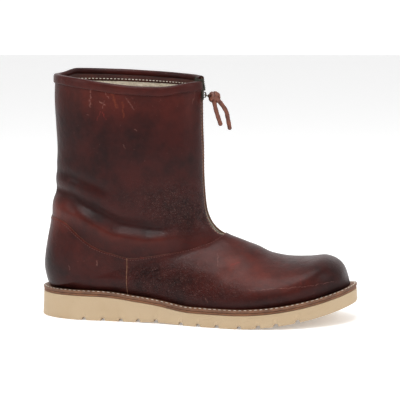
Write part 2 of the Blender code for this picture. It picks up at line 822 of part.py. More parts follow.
leather = material("oxblood_leather", (0.105, 0.030, 0.024), 0.42)
cream = material("cream_sole", (0.73, 0.54, 0.33), 0.62)
brown = material("welt_leather", (0.16, 0.062, 0.028), 0.55)
board = material("insole_leather", (0.45, 0.30, 0.17), 0.7)
woven = material("zip_tape", (0.035, 0.030, 0.020), 0.85)
metal = material("antique_metal", (0.12, 0.11, 0.09), 0.38, 1.0)
thong = material("thong_leather", (0.21, 0.085, 0.048), 0.6)

make_outsole(cream)
plate("midsole", edge_stations(midsole_inset, 44), midsole_inset, midsole_bottom,
      lambda x: midsole_bottom(x) + midsole_thickness, brown)
make_welt(brown)
insole_inset = feather_inset + upper_wall + insole_clearance
plate("insole", edge_stations(insole_inset, 40), insole_inset, lambda x: welt_top(x) + seat_gap,
      lambda x: welt_top(x) + seat_gap + insole_thickness, board)
make_binding(*make_upper(leather), leather)
make_tapes(woven)
make_teeth(metal)
make_slider(metal)
make_knot(make_pull(metal), thong)
make_tail("thong_tail_outer", TAIL_OUTER, thong)
make_tail("thong_tail_inner", TAIL_INNER, thong)
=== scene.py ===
# %% [markdown]
# # A leather boot with a front zip, dressed for a photograph
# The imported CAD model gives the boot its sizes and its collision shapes. This lesson builds the
# leather, wool, thread and metal that the eye sees around it, one part of the boot at a time.

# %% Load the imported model
import math

import bpy
import numpy as np
from mathutils import Matrix, Vector


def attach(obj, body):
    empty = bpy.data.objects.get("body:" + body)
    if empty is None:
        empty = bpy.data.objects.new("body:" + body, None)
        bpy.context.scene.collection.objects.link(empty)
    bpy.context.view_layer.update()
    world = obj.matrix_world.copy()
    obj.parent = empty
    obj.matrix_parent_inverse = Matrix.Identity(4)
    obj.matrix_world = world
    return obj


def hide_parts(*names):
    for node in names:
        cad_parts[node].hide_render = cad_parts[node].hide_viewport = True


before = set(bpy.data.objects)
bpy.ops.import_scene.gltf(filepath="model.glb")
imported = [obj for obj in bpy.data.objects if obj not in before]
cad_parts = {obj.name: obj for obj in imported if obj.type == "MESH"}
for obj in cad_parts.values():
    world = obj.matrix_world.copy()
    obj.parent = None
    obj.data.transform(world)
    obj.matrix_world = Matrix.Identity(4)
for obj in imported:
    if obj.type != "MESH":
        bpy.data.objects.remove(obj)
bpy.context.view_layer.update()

# %% [markdown]
# ## The camera first
# The photograph was taken from far away with a long lens, a little above the boot and a little
# towards its toe. A look-at constraint could aim the camera, but the picture is also rolled by
# less than a degree, so its three axes are worked out from the angles and set as one matrix.

# %% Camera
camera_yaw, camera_pitch, camera_roll = np.radians((11.154, 8.143, -0.678))
camera_distance = 1.7649
camera_lens = 163.8
camera_target = np.array((0.0031, 0.0036, 0.1143))

view_back = np.array((
    math.sin(camera_yaw) * math.cos(camera_pitch),
    -math.cos(camera_yaw) * math.cos(camera_pitch),
    math.sin(camera_pitch),
))
level_right = np.array((math.cos(camera_yaw), math.sin(camera_yaw), 0))
level_up = np.cross(view_back, level_right)
view_right = level_right * math.cos(camera_roll) + level_up * math.sin(camera_roll)
view_up = level_up * math.cos(camera_roll) - level_right * math.sin(camera_roll)

camera = bpy.data.objects.new("camera", bpy.data.cameras.new("camera"))
camera.data.lens = camera_lens
axes = np.eye(4)
axes[:3, 0], axes[:3, 1], axes[:3, 2] = view_right, view_up, view_back
axes[:3, 3] = camera_target + view_back * camera_distance
camera.matrix_world = Matrix(axes.tolist())
bpy.context.scene.collection.objects.link(camera)
bpy.context.scene.camera = camera

# %% [markdown]
# ## Tools for surfaces
# Every piece here is a surface of two parameters: numpy works out all its points as one array,
# and the array goes into the mesh in one step. Leather panels become shells with a real
# thickness, and rods, straps and stitches become closed tubes.


# %% Small curves
def ease(low, high, at):
    """Rises from 0 at low to 1 at high, with no kink at either end."""
    u = np.clip((at - low) / (high - low), 0, 1)
    return u * u * (3 - 2 * u)


def smooth(knots, values, at):
    """Cubic through values at knots, with slopes from the neighbouring knots."""
    knots, values = np.asarray(knots, float), np.asarray(values, float)
    at = np.clip(at, knots[0], knots[-1])
    slopes = np.gradient(values, knots)
    i = np.clip(np.searchsorted(knots, at, side="right") - 1, 0, len(knots) - 2)
    step = knots[i + 1] - knots[i]
    u = (at - knots[i]) / step
    start = (1 + 2 * u) * (1 - u) ** 2 * values[i] + u * (1 - u) ** 2 * step * slopes[i]
    end = u * u * (3 - 2 * u) * values[i + 1] + u * u * (u - 1) * step * slopes[i + 1]
    return start + end


def squared(values, power):
    """A cosine or sine raised to a power with its sign kept: a pair of them draws a rounded box."""
    return np.sign(values) * np.abs(values) ** power


def unit(vectors):
    """Vectors scaled to length one."""
    return vectors / np.maximum(np.linalg.norm(vectors, axis=-1, keepdims=True), 1e-12)


def along_rows(curves, shares):
    """Points at shares of each curve's length: curves is rows by points, shares rows by columns."""
    steps = np.linalg.norm(np.diff(curves, axis=1), axis=2)
    run = np.concatenate([np.zeros((len(curves), 1)), np.cumsum(steps, axis=1)], axis=1)
    length = run[:, -1]
    lane = 2.0 * np.arange(len(curves))[:, None]
    known = (run / np.maximum(length[:, None], 1e-9) + lane).ravel()
    spots = shares + lane
    points = [np.interp(spots, known, curves[..., i].ravel()) for i in range(3)]
    return np.stack(points, axis=-1), length


def spaced(curve, pitch, start=0.0, stop=0.0):
    """Points every pitch along one curve of points, and the direction of the curve at each."""
    run = np.concatenate([[0], np.cumsum(np.linalg.norm(np.diff(curve, axis=0), axis=1))])
    count = int((run[-1] - start - stop) / pitch)
    places = start + pitch * (np.arange(count) + 0.5)
    points = np.stack([np.interp(places, run, curve[:, i]) for i in range(3)], axis=1)
    step = pitch / 5
    ahead = np.stack([np.interp(places + step, run, curve[:, i]) for i in range(3)], axis=1)
    behind = np.stack([np.interp(places - step, run, curve[:, i]) for i in range(3)], axis=1)
    return points, unit(ahead - behind), places


# %% From arrays to meshes
def quads_of(rows, columns, wrap_rows=False, wrap_columns=False):
    """Corner numbers of a grid's faces, each row joined to the next."""
    r = np.arange(rows if wrap_rows else rows - 1)[:, None]
    c = np.arange(columns if wrap_columns else columns - 1)[None, :]
    down, across = (r + 1) % rows, (c + 1) % columns
    corners = (r * columns + c, r * columns + across, down * columns + across, down * columns + c)
    return np.stack([corner + 0 * r + 0 * c for corner in corners], axis=-1).reshape(-1, 4)


def weld(points, faces, grain=2e-7):
    """Joins points that coincide. Gives one number for each old point, and the faces left."""
    keys = np.round(points / grain).astype(np.int64)
    _, first, number = np.unique(keys, axis=0, return_index=True, return_inverse=True)
    number = number.reshape(-1)
    faces = number[faces]
    halves = np.stack([faces[:, [0, 1, 2]], faces[:, [0, 2, 3]]], axis=1)
    ordered = np.sort(faces, axis=1)
    whole = (np.diff(ordered, axis=1) > 0).all(axis=1)
    split = halves[~whole].reshape(-1, 3)
    split = split[(np.diff(np.sort(split, axis=1), axis=1) > 0).all(axis=1)]
    return first, number, faces[whole], split


def mesh_object(name, points, quads, triangles, finishes, looks=None, sharp=40):
    """An object at the origin from points and faces; looks gives each face's finish number."""
    mesh = bpy.data.meshes.new(name)
    mesh.from_pydata(points.tolist(), [], quads.tolist() + triangles.tolist())
    for finish in finishes:
        mesh.materials.append(finish)
    if looks is not None:
        mesh.polygons.foreach_set("material_index", np.asarray(looks, np.int32))
    mesh.shade_smooth()
    mesh.set_sharp_from_angle(angle=math.radians(sharp))
    made = bpy.data.objects.new(name, mesh)
    bpy.context.scene.collection.objects.link(made)
    print(f"{name}: {2 * len(quads) + len(triangles)} triangles")
    return made


def dress(piece, body, slot, *nodes):
    """Says which body a piece rides on and the CAD nodes that it stands for, which it hides. slot is not
    used.
    """
    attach(piece, body)
    if nodes:
        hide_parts(*nodes)
    return piece


def tubes(name, points, finish, wrap_rows=False, sharp=40):
    """Closed skins from an array of pieces by rings by points round each ring.

    The first and last ring of each piece close on a point in their middle, unless the rings
    go round and meet.
    """
    if points.ndim == 3:
        points = points[None]
    if not wrap_rows:
        ends = points[:, [0, -1]].mean(axis=2, keepdims=True) + 0 * points[:, [0, -1]]
        points = np.concatenate([ends[:, :1], points, ends[:, 1:]], axis=1)
    pieces, rings, around = points.shape[:3]
    faces = quads_of(rings, around, wrap_rows, True)
    faces = (faces[None] + rings * around * np.arange(pieces)[:, None, None]).reshape(-1, 4)
    flat = points.reshape(-1, 3)
    first, _, quads, triangles = weld(flat, faces)
    flat = flat[first]
    a, b, c, d = (flat[quads[:, i]] for i in range(4))
    volume = np.einsum("ij,ij->", a, np.cross(b, c)) + np.einsum("ij,ij->", a, np.cross(c, d))
    if len(triangles):
        a, b, c = (flat[triangles[:, i]] for i in range(3))
        volume += np.einsum("ij,ij->", a, np.cross(b, c))
    if volume < 0:
        quads, triangles = quads[:, ::-1], triangles[:, ::-1]
    return mesh_object(name, flat, quads, triangles, [finish], sharp=sharp)


def shell(name, sheets, finishes, sharp=40):
    """A panel with thickness from one or more grids that share borders.

    Each sheet gives points, normals, and how far the face and the back stand off the surface.
    The faces of the cut edge between face and back take the second finish.
    """
    grids = [quads_of(*sheet["points"].shape[:2]) for sheet in sheets]
    starts = np.cumsum([0] + [sheet["points"][..., 0].size for sheet in sheets])
    faces = np.concatenate([grid + start for grid, start in zip(grids, starts)])
    points = np.concatenate([sheet["points"].reshape(-1, 3) for sheet in sheets])
    normals = np.concatenate([sheet["normals"].reshape(-1, 3) for sheet in sheets])
    stand = {
        key: np.concatenate([(sheet[key] + 0 * sheet["points"][..., 0]).ravel() for sheet in sheets])
        for key in sheets[0]
        if key not in ("points", "normals")
    }
    first, number, quads, triangles = weld(points, faces)
    summed = np.zeros((len(first), 3))
    np.add.at(summed, number, normals)
    points, normals = points[first], unit(summed)
    fields = {key: values[first] for key, values in stand.items()}
    turned = []
    for group in (quads, triangles):
        a, b, c = (points[group[:, i]] for i in range(3))
        facing = np.einsum("ij,ij->i", np.cross(b - a, c - a), normals[group].sum(axis=1))
        turned.append(np.where((facing < 0)[:, None], group[:, ::-1], group))
    quads, triangles = turned
    ends = np.concatenate(
        [quads[:, [i, (i + 1) % 4]] for i in range(4)] + [triangles[:, [i, (i + 1) % 3]] for i in range(3)]
    )
    count = len(points)
    there, back = ends[:, 0] * count + ends[:, 1], ends[:, 1] * count + ends[:, 0]
    border = ends[~np.isin(there, back)]
    walls = np.stack([border[:, 1], border[:, 0], border[:, 0] + count, border[:, 1] + count], axis=1)
    face = points + normals * fields.pop("face")[:, None]
    under = points + normals * fields.pop("back")[:, None]
    all_quads = np.concatenate([quads, quads[:, ::-1] + count, walls])
    all_triangles = np.concatenate([triangles, triangles[:, ::-1] + count])
    looks = np.zeros(len(all_quads) + len(all_triangles), np.int32)
    looks[2 * len(quads) : len(all_quads)] = len(finishes) - 1
    both = np.concatenate([face, under])
    made = mesh_object(name, both, all_quads, all_triangles, finishes, looks, sharp)
    for key, values in fields.items():
        layer = made.data.attributes.new(key, "FLOAT", "POINT")
        layer.data.foreach_set("value", np.tile(values, 2).astype(np.float32))
    return made


# %% [markdown]
# ## The sole's plan and heights
# The sole is a wedge: thick under the heel, thin and sprung up at the toe. Its outline comes
# from one short table of half widths and centre lines, with a round heel and a round toe.

# %% Sole sizes, in metres
sole_length = 0.312
ball_width = 0.111
heel_thickness = 0.0233
forefoot_thickness = 0.0124
toe_spring = 0.0185
arch_rise = 0.0012
sole_taper = 0.0012
midsole_thickness = 0.0021
midsole_inset = 0.0014
welt_thickness = 0.0024
feather_inset = 0.0085
seat_gap = 0.0003
upper_height = 0.2080
upper_wall = 0.0026

SOLE = np.array((
    # place along, half width and centre line, as shares of the length and the ball's width
    (0.00, 0.332, 0.000), (0.12, 0.332, 0.000), (0.22, 0.336, -0.010), (0.32, 0.345, -0.022),
    (0.42, 0.377, -0.031), (0.52, 0.430, -0.040), (0.60, 0.474, -0.041), (0.66, 0.497, -0.038),
    (0.74, 0.500, -0.028), (0.80, 0.485, -0.016), (1.00, 0.470, 0.045),
)).T
GROOVES = np.array((0.160, 0.222, 0.280, 0.336, 0.394, 0.476, 0.532, 0.592, 0.662, 0.720, 0.773, 0.836))
heel_cap, toe_cap_from, toe_cap_power = 0.17, 0.76, 1.9
spring_from, wedge_from, wedge_to, arch_from, arch_to = 0.62, 0.20, 0.52, 0.30, 0.50


# %% Sole heights and plan
def sole_half(x, inset):
    """Half width at x: the table's, closed by an ellipse at the heel and a fuller curve at the toe."""
    s = np.clip((x - inset) / (sole_length - 2 * inset), 0, 1)
    heel = np.sqrt(np.clip(1 - np.clip(1 - s / heel_cap, 0, 1) ** 2, 0, 1))
    past = np.clip((s - toe_cap_from) / (1 - toe_cap_from), 0, 1)
    toe = np.clip(1 - past**toe_cap_power, 0, 1) ** (1 / toe_cap_power)
    return (smooth(SOLE[0], SOLE[1], s) * ball_width - inset) * heel * toe


def sole_centre(x):
    return smooth(SOLE[0], SOLE[2], x / sole_length) * ball_width


def sole_bottom(x):
    """Flat under the heel and the ball, a low arch between them, rising as a parabola to the toe."""
    s = x / sole_length
    spring = toe_spring * (np.clip(s - spring_from, 0, None) / (1 - spring_from)) ** 2
    return spring + arch_rise * ease(0, 1, 1 - np.abs(2 * (s - arch_from) / (arch_to - arch_from) - 1))


def sole_top(x):
    fall = ease(wedge_from, wedge_to, x / sole_length)
    return sole_bottom(x) + heel_thickness + (forefoot_thickness - heel_thickness) * fall


def midsole_bottom(x):
    return sole_top(x) + seat_gap


def welt_bottom(x):
    return midsole_bottom(x) + midsole_thickness + seat_gap


def welt_top(x):
    return welt_bottom(x) + welt_thickness


def stations_along(inset, count):
    """Places along the sole that crowd together at both ends, as the cosine of an even turn does."""
    return inset + (sole_length - 2 * inset) * (1 - np.cos(np.linspace(0, math.pi, count))) / 2


plan = stations_along(0, 200)
sides = np.array((sole_centre(plan) - sole_half(plan, 0), sole_centre(plan) + sole_half(plan, 0)))
to_frame = np.array((sole_length / 2, (sides.min() + sides.max()) / 2, 0))
print("plan to frame, mm:", np.round(1000 * to_frame, 2))


def rim_points(angle, inset, height):
    """Points on the sole's outline at an angle round it, brought in by inset."""
    x = inset + (sole_length - 2 * inset) * (1 - np.cos(angle)) / 2
    y = sole_centre(x) + np.sign(np.sin(angle)) * sole_half(x, inset)
    return np.stack(np.broadcast_arrays(x, y, height(x)), axis=-1)


# %% [markdown]
# ## The shape of the upper
# A last maker draws sections. Here each section is a curve from the heel, or from the sole's
# edge, round to the front ridge, and a short table moves it from the collar down to the toe.
# Two functions then give any point of either side from a row and a share of the way round.

# %% Sections of the upper
SECTIONS = np.array((
    # back x, back height, front x, front height, half width, widest place, roundness
    (0.0550, 0.995, 0.5215, 1.014, 0.332, 0.45, 1.85),
    (0.0520, 0.883, 0.5225, 0.915, 0.334, 0.45, 1.95),
    (0.0555, 0.763, 0.5220, 0.809, 0.336, 0.45, 2.05),
    (0.0585, 0.648, 0.5235, 0.699, 0.336, 0.45, 2.10),
    (0.0530, 0.547, 0.5235, 0.598, 0.333, 0.44, 2.10),
    (0.0480, 0.460, 0.5265, 0.501, 0.329, 0.42, 2.10),
    (0.0395, 0.384, 0.5320, 0.425, 0.324, 0.38, 2.10),
    (0.0350, 0.308, 0.5420, 0.379, 0.320, 0.34, 2.10),
    (0.0240, 0.226, 0.5545, 0.348, 0.318, 0.31, 2.15),
    (0.0150, 0.144, 0.5690, 0.326, 0.318, 0.28, 2.20),
    (0.0135, 0.077, 0.5850, 0.311, 0.318, 0.27, 2.20),
    (0.0280, 0.000, 0.6040, 0.297, 0.316, 0.27, 2.15),
    (0.0500, 0.000, 0.6200, 0.288, 0.318, 0.28, 2.10),
    (0.1180, 0.000, 0.6395, 0.276, 0.325, 0.31, 2.10),
    (0.2210, 0.000, 0.6620, 0.261, 0.335, 0.38, 2.08),
    (0.3520, 0.000, 0.6910, 0.242, 0.353, 0.45, 2.02),
    (0.5000, 0.000, 0.7310, 0.208, 0.388, 0.36, 2.02),
    (0.6460, 0.000, 0.7870, 0.181, 0.430, 0.26, 2.15),
    (0.7770, 0.000, 0.8480, 0.166, 0.420, 0.22, 2.25),
    (0.8830, 0.000, 0.9055, 0.154, 0.330, 0.25, 2.45),
    (0.9490, 0.000, 0.9500, 0.101, 0.190, 0.30, 2.40),
    (0.9720, 0.000, 0.9728, 0.004, 0.008, 0.30, 2.20),
)).T
SEAM = np.array((
    # share of the length, share of the upper's height
    (0.000, 0.345), (0.045, 0.334), (0.100, 0.318), (0.142, 0.268), (0.178, 0.226), (0.215, 0.197),
    (0.255, 0.182), (0.299, 0.172), (0.380, 0.196), (0.435, 0.222), (0.503, 0.256), (0.557, 0.284),
    (0.590, 0.309), (0.700, 0.360),
)).T
FOLDS = (
    # depth, width, side, line: lines over the ankle in the side view
    (-1.0, 0.030, -1,
     ((0.02, 0.47), (0.12, 0.445), (0.20, 0.385), (0.28, 0.330), (0.40, 0.325), (0.48, 0.350))),
    (0.75, 0.032, -1,
     ((0.02, 0.40), (0.14, 0.355), (0.25, 0.270), (0.36, 0.262), (0.45, 0.300), (0.50, 0.325))),
    (-0.80, 0.030, 1, ((0.02, 0.47), (0.14, 0.430), (0.26, 0.355), (0.40, 0.345), (0.49, 0.375))),
    (0.60, 0.032, 1, ((0.02, 0.40), (0.15, 0.350), (0.27, 0.290), (0.40, 0.282), (0.50, 0.330))),
    (-0.35, 0.024, -1, ((0.02, 0.56), (0.10, 0.545), (0.20, 0.500), (0.27, 0.455))),
)
last_row = SECTIONS.shape[1] - 1
heel_seat = 11
ridge_shift = 0.030
collar_dip = 0.0055
collar_rise = 0.0045
fold_depth = 0.0040


def section_curves(rows, side, count=160):
    """Half sections: superellipses that start on the sole's edge from the heel seat on."""
    places = np.arange(last_row + 1)
    back_x, back_z, front_x, front_z, half, widest, power = (smooth(places, c, rows) for c in SECTIONS)
    foot = rows >= heel_seat
    along = np.clip((rows - heel_seat) / (last_row - heel_seat), 0, 1)
    edge_x = feather_inset + (sole_length - 2 * feather_inset) * (1 - np.cos(np.pi * along)) / 2
    back_x = np.where(foot, edge_x, back_x * sole_length)
    back_z = np.where(foot, 0, np.maximum(back_z, 0))
    edge = np.where(foot, sole_half(edge_x, feather_inset), 0)
    half = np.maximum(half * ball_width, edge * 1.015)[:, None]
    share = (2 / power)[:, None]
    start = np.arcsin(np.minimum((edge[:, None] / half) ** (1 / share), 1))
    low = start + (np.pi / 2 - start) * np.linspace(0, 1, count)
    high = np.linspace(0, np.pi / 2, count)[1:]
    w = widest[:, None]
    rise = np.clip(np.cos(low), 0, 1) / np.maximum(np.cos(start), 1e-9)
    reach = np.concatenate([w * (1 - rise**share), w + (1 - w) * np.sin(high) ** share], axis=1)
    out = np.concatenate([half * np.sin(low) ** share, half * np.clip(np.cos(high), 0, 1) ** share], axis=1)
    back = np.stack([back_x, 0 * back_x, welt_top(back_x) + seat_gap + back_z * upper_height], axis=-1)
    front_x = front_x * sole_length
    front = np.stack([front_x, 0 * front_x, welt_top(front_x) + seat_gap + front_z * upper_height], axis=-1)
    points = back[:, None] + (front - back)[:, None] * reach[..., None]
    flat = (sole_centre(back_x) * ease(heel_seat - 3, heel_seat + 1, rows))[:, None]
    ridge = (ridge_shift * ball_width * ease(heel_seat, heel_seat + 6, rows))[:, None]
    points[..., 1] = flat + (ridge - flat) * ease(0.1, 1, reach) + side * out
    return points


def along_line(x, z, line):
    """Distance in the side view from points to a line of shares, and the share along it."""
    knots = np.array(line) * (sole_length, upper_height)
    knots[:, 1] += welt_top(knots[:, 0])
    best, where = np.full(x.shape, np.inf), np.zeros(x.shape)
    for i, (a, b) in enumerate(zip(knots, knots[1:])):
        u = ((x - a[0]) * (b[0] - a[0]) + (z - a[1]) * (b[1] - a[1])) / ((b - a) @ (b - a))
        u = np.clip(u, 0, 1)
        far = np.hypot(x - a[0] - u * (b[0] - a[0]), z - a[1] - u * (b[1] - a[1]))
        where = np.where(far < best, (i + u) / (len(knots) - 1), where)
        best = np.minimum(best, far)
    return best, where


def fold_push(x, z, side):
    """How far the folds push a point out, as a share of their depth."""
    push = np.zeros(x.shape)
    for depth, width, fold_side, line in FOLDS:
        if fold_side == side:
            far, where = along_line(x, z, line)
            fade = 1 - ease(0.65, 1.0, where)
            if depth > 0:
                fade = fade * ease(-0.05, 0.25, where)
            push = push + depth * np.exp(-((far / (width * upper_height)) ** 2)) * fade
    return push


def shaped(points, side):
    """Adds the collar's low outer side and high inner side, and the folds over the ankle."""
    x, y, z = points[..., 0], points[..., 1], points[..., 2]
    shares = x / sole_length
    high = ease(0.55, 1, (z - welt_top(x)) / upper_height)
    if side < 0:
        z = z - collar_dip * high * ease(0.06, 0.36, shares) * (1 - ease(0.40, 0.53, shares))
    else:
        z = z + collar_rise * high * ease(0.056, 0.105, shares)
    push = fold_depth * fold_push(x, z, side)
    reach = np.clip(np.abs(y) / (0.1 * ball_width), 0, 1)
    back = np.where(shares < 0.15, -push * (1 - reach), 0)
    return np.stack([x + back, y + side * push * reach, z], axis=-1)


# %% Both sides as dense tables of points and normals
dense_rows = np.linspace(0, last_row, 421)
dense_shares = np.linspace(0, 1, 241)
surface, half_length = [], []
for side in (-1, 1):
    grid, length = along_rows(section_curves(dense_rows, side), np.tile(dense_shares, (len(dense_rows), 1)))
    grid = shaped(grid, side)
    around, across = np.gradient(grid, axis=1), np.gradient(grid, axis=0)
    surface.append(np.concatenate([grid, unit(np.cross(around, across) * side)], axis=-1))
    half_length.append(length)
surface = np.array(surface)
shaft_rows = dense_rows <= heel_seat
middle = surface[:, shaft_rows, 0].mean(axis=0)
middle[:, 4] = 0
surface[:, shaft_rows, 0] = middle
below = dense_rows > 5.5
ridge = surface[:, below, -1].mean(axis=0)
surface[:, below, -1] = ridge
surface[..., 3:] = unit(surface[..., 3:])
surface[..., :3] -= to_frame
ridge_length = np.linalg.norm(np.diff(ridge[:, :3], axis=0), axis=1).sum()
print("folds to toe along the ridge, mm:", round(1000 * ridge_length))


def upper_at(row, turn):
    """Points and normals of the upper: turn is 0 at the back and 1 or -1 at the front ridge,
    negative on the outer side. Both may be arrays of the same shape."""
    row, turn = np.broadcast_arrays(row, turn)
    side = (turn > 0).astype(int)
    spot = np.clip(row / last_row * (len(dense_rows) - 1), 0, len(dense_rows) - 1.001)
    place = np.clip(np.abs(turn) * (len(dense_shares) - 1), 0, len(dense_shares) - 1.001)
    place = np.where(np.abs(turn) >= 1, len(dense_shares) - 1 - 1e-9, place)
    r, c = spot.astype(int), np.minimum(place.astype(int), len(dense_shares) - 2)
    u, v = (spot - r)[..., None], (place - c)[..., None]
    near = surface[side, r, c] * (1 - v) + surface[side, r, c + 1] * v
    far = surface[side, r + 1, c] * (1 - v) + surface[side, r + 1, c + 1] * v
    both = near * (1 - u) + far * u
    return both[..., :3], unit(both[..., 3:])


def share_of(distance, row, turn):
    """What a distance along the section is, as a share of its half length."""
    lengths = [np.interp(row, dense_rows, length) for length in half_length]
    return distance / np.where(np.asarray(turn) > 0, lengths[1], lengths[0])


# %% [markdown]
# ## Where the panels meet
# Three panels make this upper: a shaft that wraps the leg, a counter round the heel and a vamp
# over the foot. The lower panels lie over the shaft's edge. Finding the seam on the dense table
# gives each panel a grid whose first row follows the real cut, so that the edge stays crisp.

# %% Seam lines on the surface
panel_step = 0.0011
side_seam_x = 0.0935 - to_frame[0]

seam_row = []
for s in range(2):
    x = surface[s, :, :, 0] + to_frame[0]
    over = (surface[s, :, :, 2] - welt_top(x)) / upper_height - smooth(SEAM[0], SEAM[1], x / sole_length)
    crossed = np.argmax(over < 0, axis=0)
    columns = np.arange(len(dense_shares))
    before, after = over[crossed - 1, columns], over[crossed, columns]
    seam_row.append(dense_rows[crossed - 1] + (dense_rows[1] - dense_rows[0]) * before / (before - after))
seam_row = np.array(seam_row)
seam_row[:, 0] = seam_row[:, 0].mean()
seam_row[:, -1] = seam_row[:, -1].mean()


def seam_at(turn):
    """Row of the seam at a turn round the boot."""
    rows = [np.interp(np.abs(turn), dense_shares, rows) for rows in seam_row]
    return np.where(turn > 0, rows[1], rows[0])


side_share = []
for s in range(2):
    x = surface[s, :, :, 0]
    crossed = np.clip(np.argmax(x > side_seam_x, axis=1), 1, None)
    lines = np.arange(len(dense_rows))
    before, after = x[lines, crossed - 1], x[lines, crossed]
    part = np.clip((side_seam_x - before) / (after - before), 0, 1)
    share = (crossed - 1 + part) / (len(dense_shares) - 1)
    side_share.append(np.where(x[:, 0] < side_seam_x, share, 0))
side_share = np.array(side_share)
seat_rows = dense_rows > heel_seat
side_end = max(dense_rows[seat_rows & (side_share[s] > 0)].max() for s in range(2))
print("side seam ends at row", round(float(side_end), 2))


def side_seam_at(row, turn):
    """Share of the half section at which the upright side seam lies, 0 past the seam's foot."""
    shares = [np.interp(row, dense_rows, share) for share in side_share]
    return np.where(turn > 0, shares[1], shares[0])


# %% [markdown]
# ## Wear and painted light, as numbers on the surface
# Oiled leather goes lighter and redder where it is pulled over a bulge, and on the fold ridges this
# is also a painted highlight. The darker troughs of the folds and the dark band next to the welt are
# painted shade. Painted textures could show that, but numbers on the mesh's own points stay put on
# any copy and feed the shader through three attributes: warm, dark and pebble.

# %% Patches: pebbled grain, lighter and darker leather, and painted shade along the welt
PATCHES = (
    # kind, plan x and height in mm from the heel, radii along x and z, strength
    ("pebble", 132, 118, 34, 17, 0.9), ("pebble", 152, 100, 24, 14, 0.9),
    ("pebble", 122, 44, 30, 15, 1.0), ("pebble", 160, 40, 24, 14, 0.9), ("pebble", 190, 35, 26, 10, 0.5),
    ("warm", 70, 218, 40, 16, 0.55), ("warm", 22, 100, 16, 22, 0.6), ("warm", 180, 62, 40, 20, 0.4),
    ("warm", 215, 48, 30, 14, 0.45), ("warm", 250, 42, 34, 14, 0.45), ("warm", 150, 210, 40, 20, 0.25),
    ("warm", 60, 66, 26, 16, 0.25), ("warm", 196, 60, 14, 16, 0.3),
    # dark: the low patches along the welt, 26 to 34 mm high, are painted shade next to the welt
    ("dark", 120, 165, 60, 36, 0.12), ("dark", 36, 170, 26, 40, 0.14), ("dark", 168, 180, 16, 50, 0.16),
    ("dark", 20, 55, 18, 26, 0.55), ("dark", 296, 55, 22, 30, 0.75), ("dark", 275, 30, 40, 9, 0.5),
    ("dark", 135, 34, 24, 8, 0.5), ("dark", 215, 26, 44, 8, 0.35),
)


def wear_and_painted_light(points, side):
    """The three attributes: soft ellipses from the table, the folds, and a band above the welt.
    In dark, the fold troughs and the welt band are painted shade; the fold ridges add to warm, partly as a
    painted highlight.
    """
    x, z = points[..., 0] + to_frame[0], points[..., 2]
    fields = {kind: np.zeros(x.shape) for kind in ("warm", "dark", "pebble")}
    for kind, at_x, at_z, wide, high, strength in PATCHES:
        far = ((1000 * x - at_x) / wide) ** 2 + ((1000 * z - at_z) / high) ** 2
        fields[kind] = fields[kind] + strength * np.exp(-far)
    push = fold_push(x, z, -1) * (side <= 0) + fold_push(x, z, 1) * (side > 0)
    # fold ridges go lighter: pulled leather, and also a painted highlight on the ridges
    fields["warm"] = fields["warm"] + 0.50 * np.clip(push, 0, 1)
    # fold troughs go darker: painted shade in the creases
    fields["dark"] = fields["dark"] + 1.0 * np.clip(-push, 0, 1)
    # a dark band just above the welt: painted shade where the upper meets the welt
    over_welt = z - welt_top(x)
    fields["dark"] = fields["dark"] + 0.55 * np.exp(-((over_welt / 0.007) ** 2))
    return {kind: np.clip(values, 0, 1.3) for kind, values in fields.items()}


# %% [markdown]
# ## Materials
# The shader helpers keep each material short. Effects that several materials share, such as
# grain, mottling and scratches, are node groups with named inputs.


# %% Node helpers
def put(tree, kind, inputs=None, **settings):
    """Adds one shader node. Inputs are given by name or number, as values or as sockets."""
    made = tree.nodes.new(kind)
    for key, value in settings.items():
        setattr(made, key, value)
    for key, value in (inputs or {}).items():
        if isinstance(value, bpy.types.NodeSocket):
            tree.links.new(value, made.inputs[key])
        else:
            made.inputs[key].default_value = value
    return made


def maths(tree, operation, *values, clamp=False):
    """One Math node's result."""
    made = put(tree, "ShaderNodeMath", dict(enumerate(values)), operation=operation, use_clamp=clamp)
    return made.outputs[0]


def times(tree, first, second, clamp=False):
    """Two values multiplied."""
    return maths(tree, "MULTIPLY", first, second, clamp=clamp)


def vector_maths(tree, operation, first, second):
    """One Vector Math node on two vectors."""
    return put(tree, "ShaderNodeVectorMath", {0: first, 1: second}, operation=operation)


def noise_at(tree, where, scale, detail):
    """A Noise Texture's outputs: its value, then its colour."""
    return put(tree, "ShaderNodeTexNoise", {"Vector": where, "Scale": scale, "Detail": detail}).outputs


def mixed(tree, share, first, second, blend="MIX"):
    """Two colours mixed by a share. Inputs 6 and 7 of the node are its two colours."""
    inputs = {0: share, 6: first, 7: second}
    made = put(tree, "ShaderNodeMix", inputs, data_type="RGBA", blend_type=blend)
    return made.outputs[2]


def colour(red, green, blue):
    """A colour from 0 to 255 as the screen shows it, made linear for the shader."""
    values = np.array((red, green, blue)) / 255
    linear = np.where(values <= 0.04045, values / 12.92, ((values + 0.055) / 1.055) ** 2.4)
    return (*linear, 1)


def group(name, inputs, outputs):
    """An empty node group with named sockets: gives its tree, what comes in and what goes out."""
    tree = bpy.data.node_groups.new(name, "ShaderNodeTree")
    for label, kind, value in inputs:
        socket = tree.interface.new_socket(label, in_out="INPUT", socket_type=kind)
        if value is not None:
            socket.default_value = value
    for label, kind in outputs:
        tree.interface.new_socket(label, in_out="OUTPUT", socket_type=kind)
    return tree, tree.nodes.new("NodeGroupInput").outputs, tree.nodes.new("NodeGroupOutput").inputs


def placed(tree, made, inputs):
    """Puts a node group into a tree with its own values, and gives its outputs."""
    node = tree.nodes.new("ShaderNodeGroup")
    node.node_tree = made
    for key, value in inputs.items():
        if isinstance(value, bpy.types.NodeSocket):
            tree.links.new(value, node.inputs[key])
        else:
            node.inputs[key].default_value = value
    return node.outputs


FLOAT, VECTOR = "NodeSocketFloat", "NodeSocketVector"

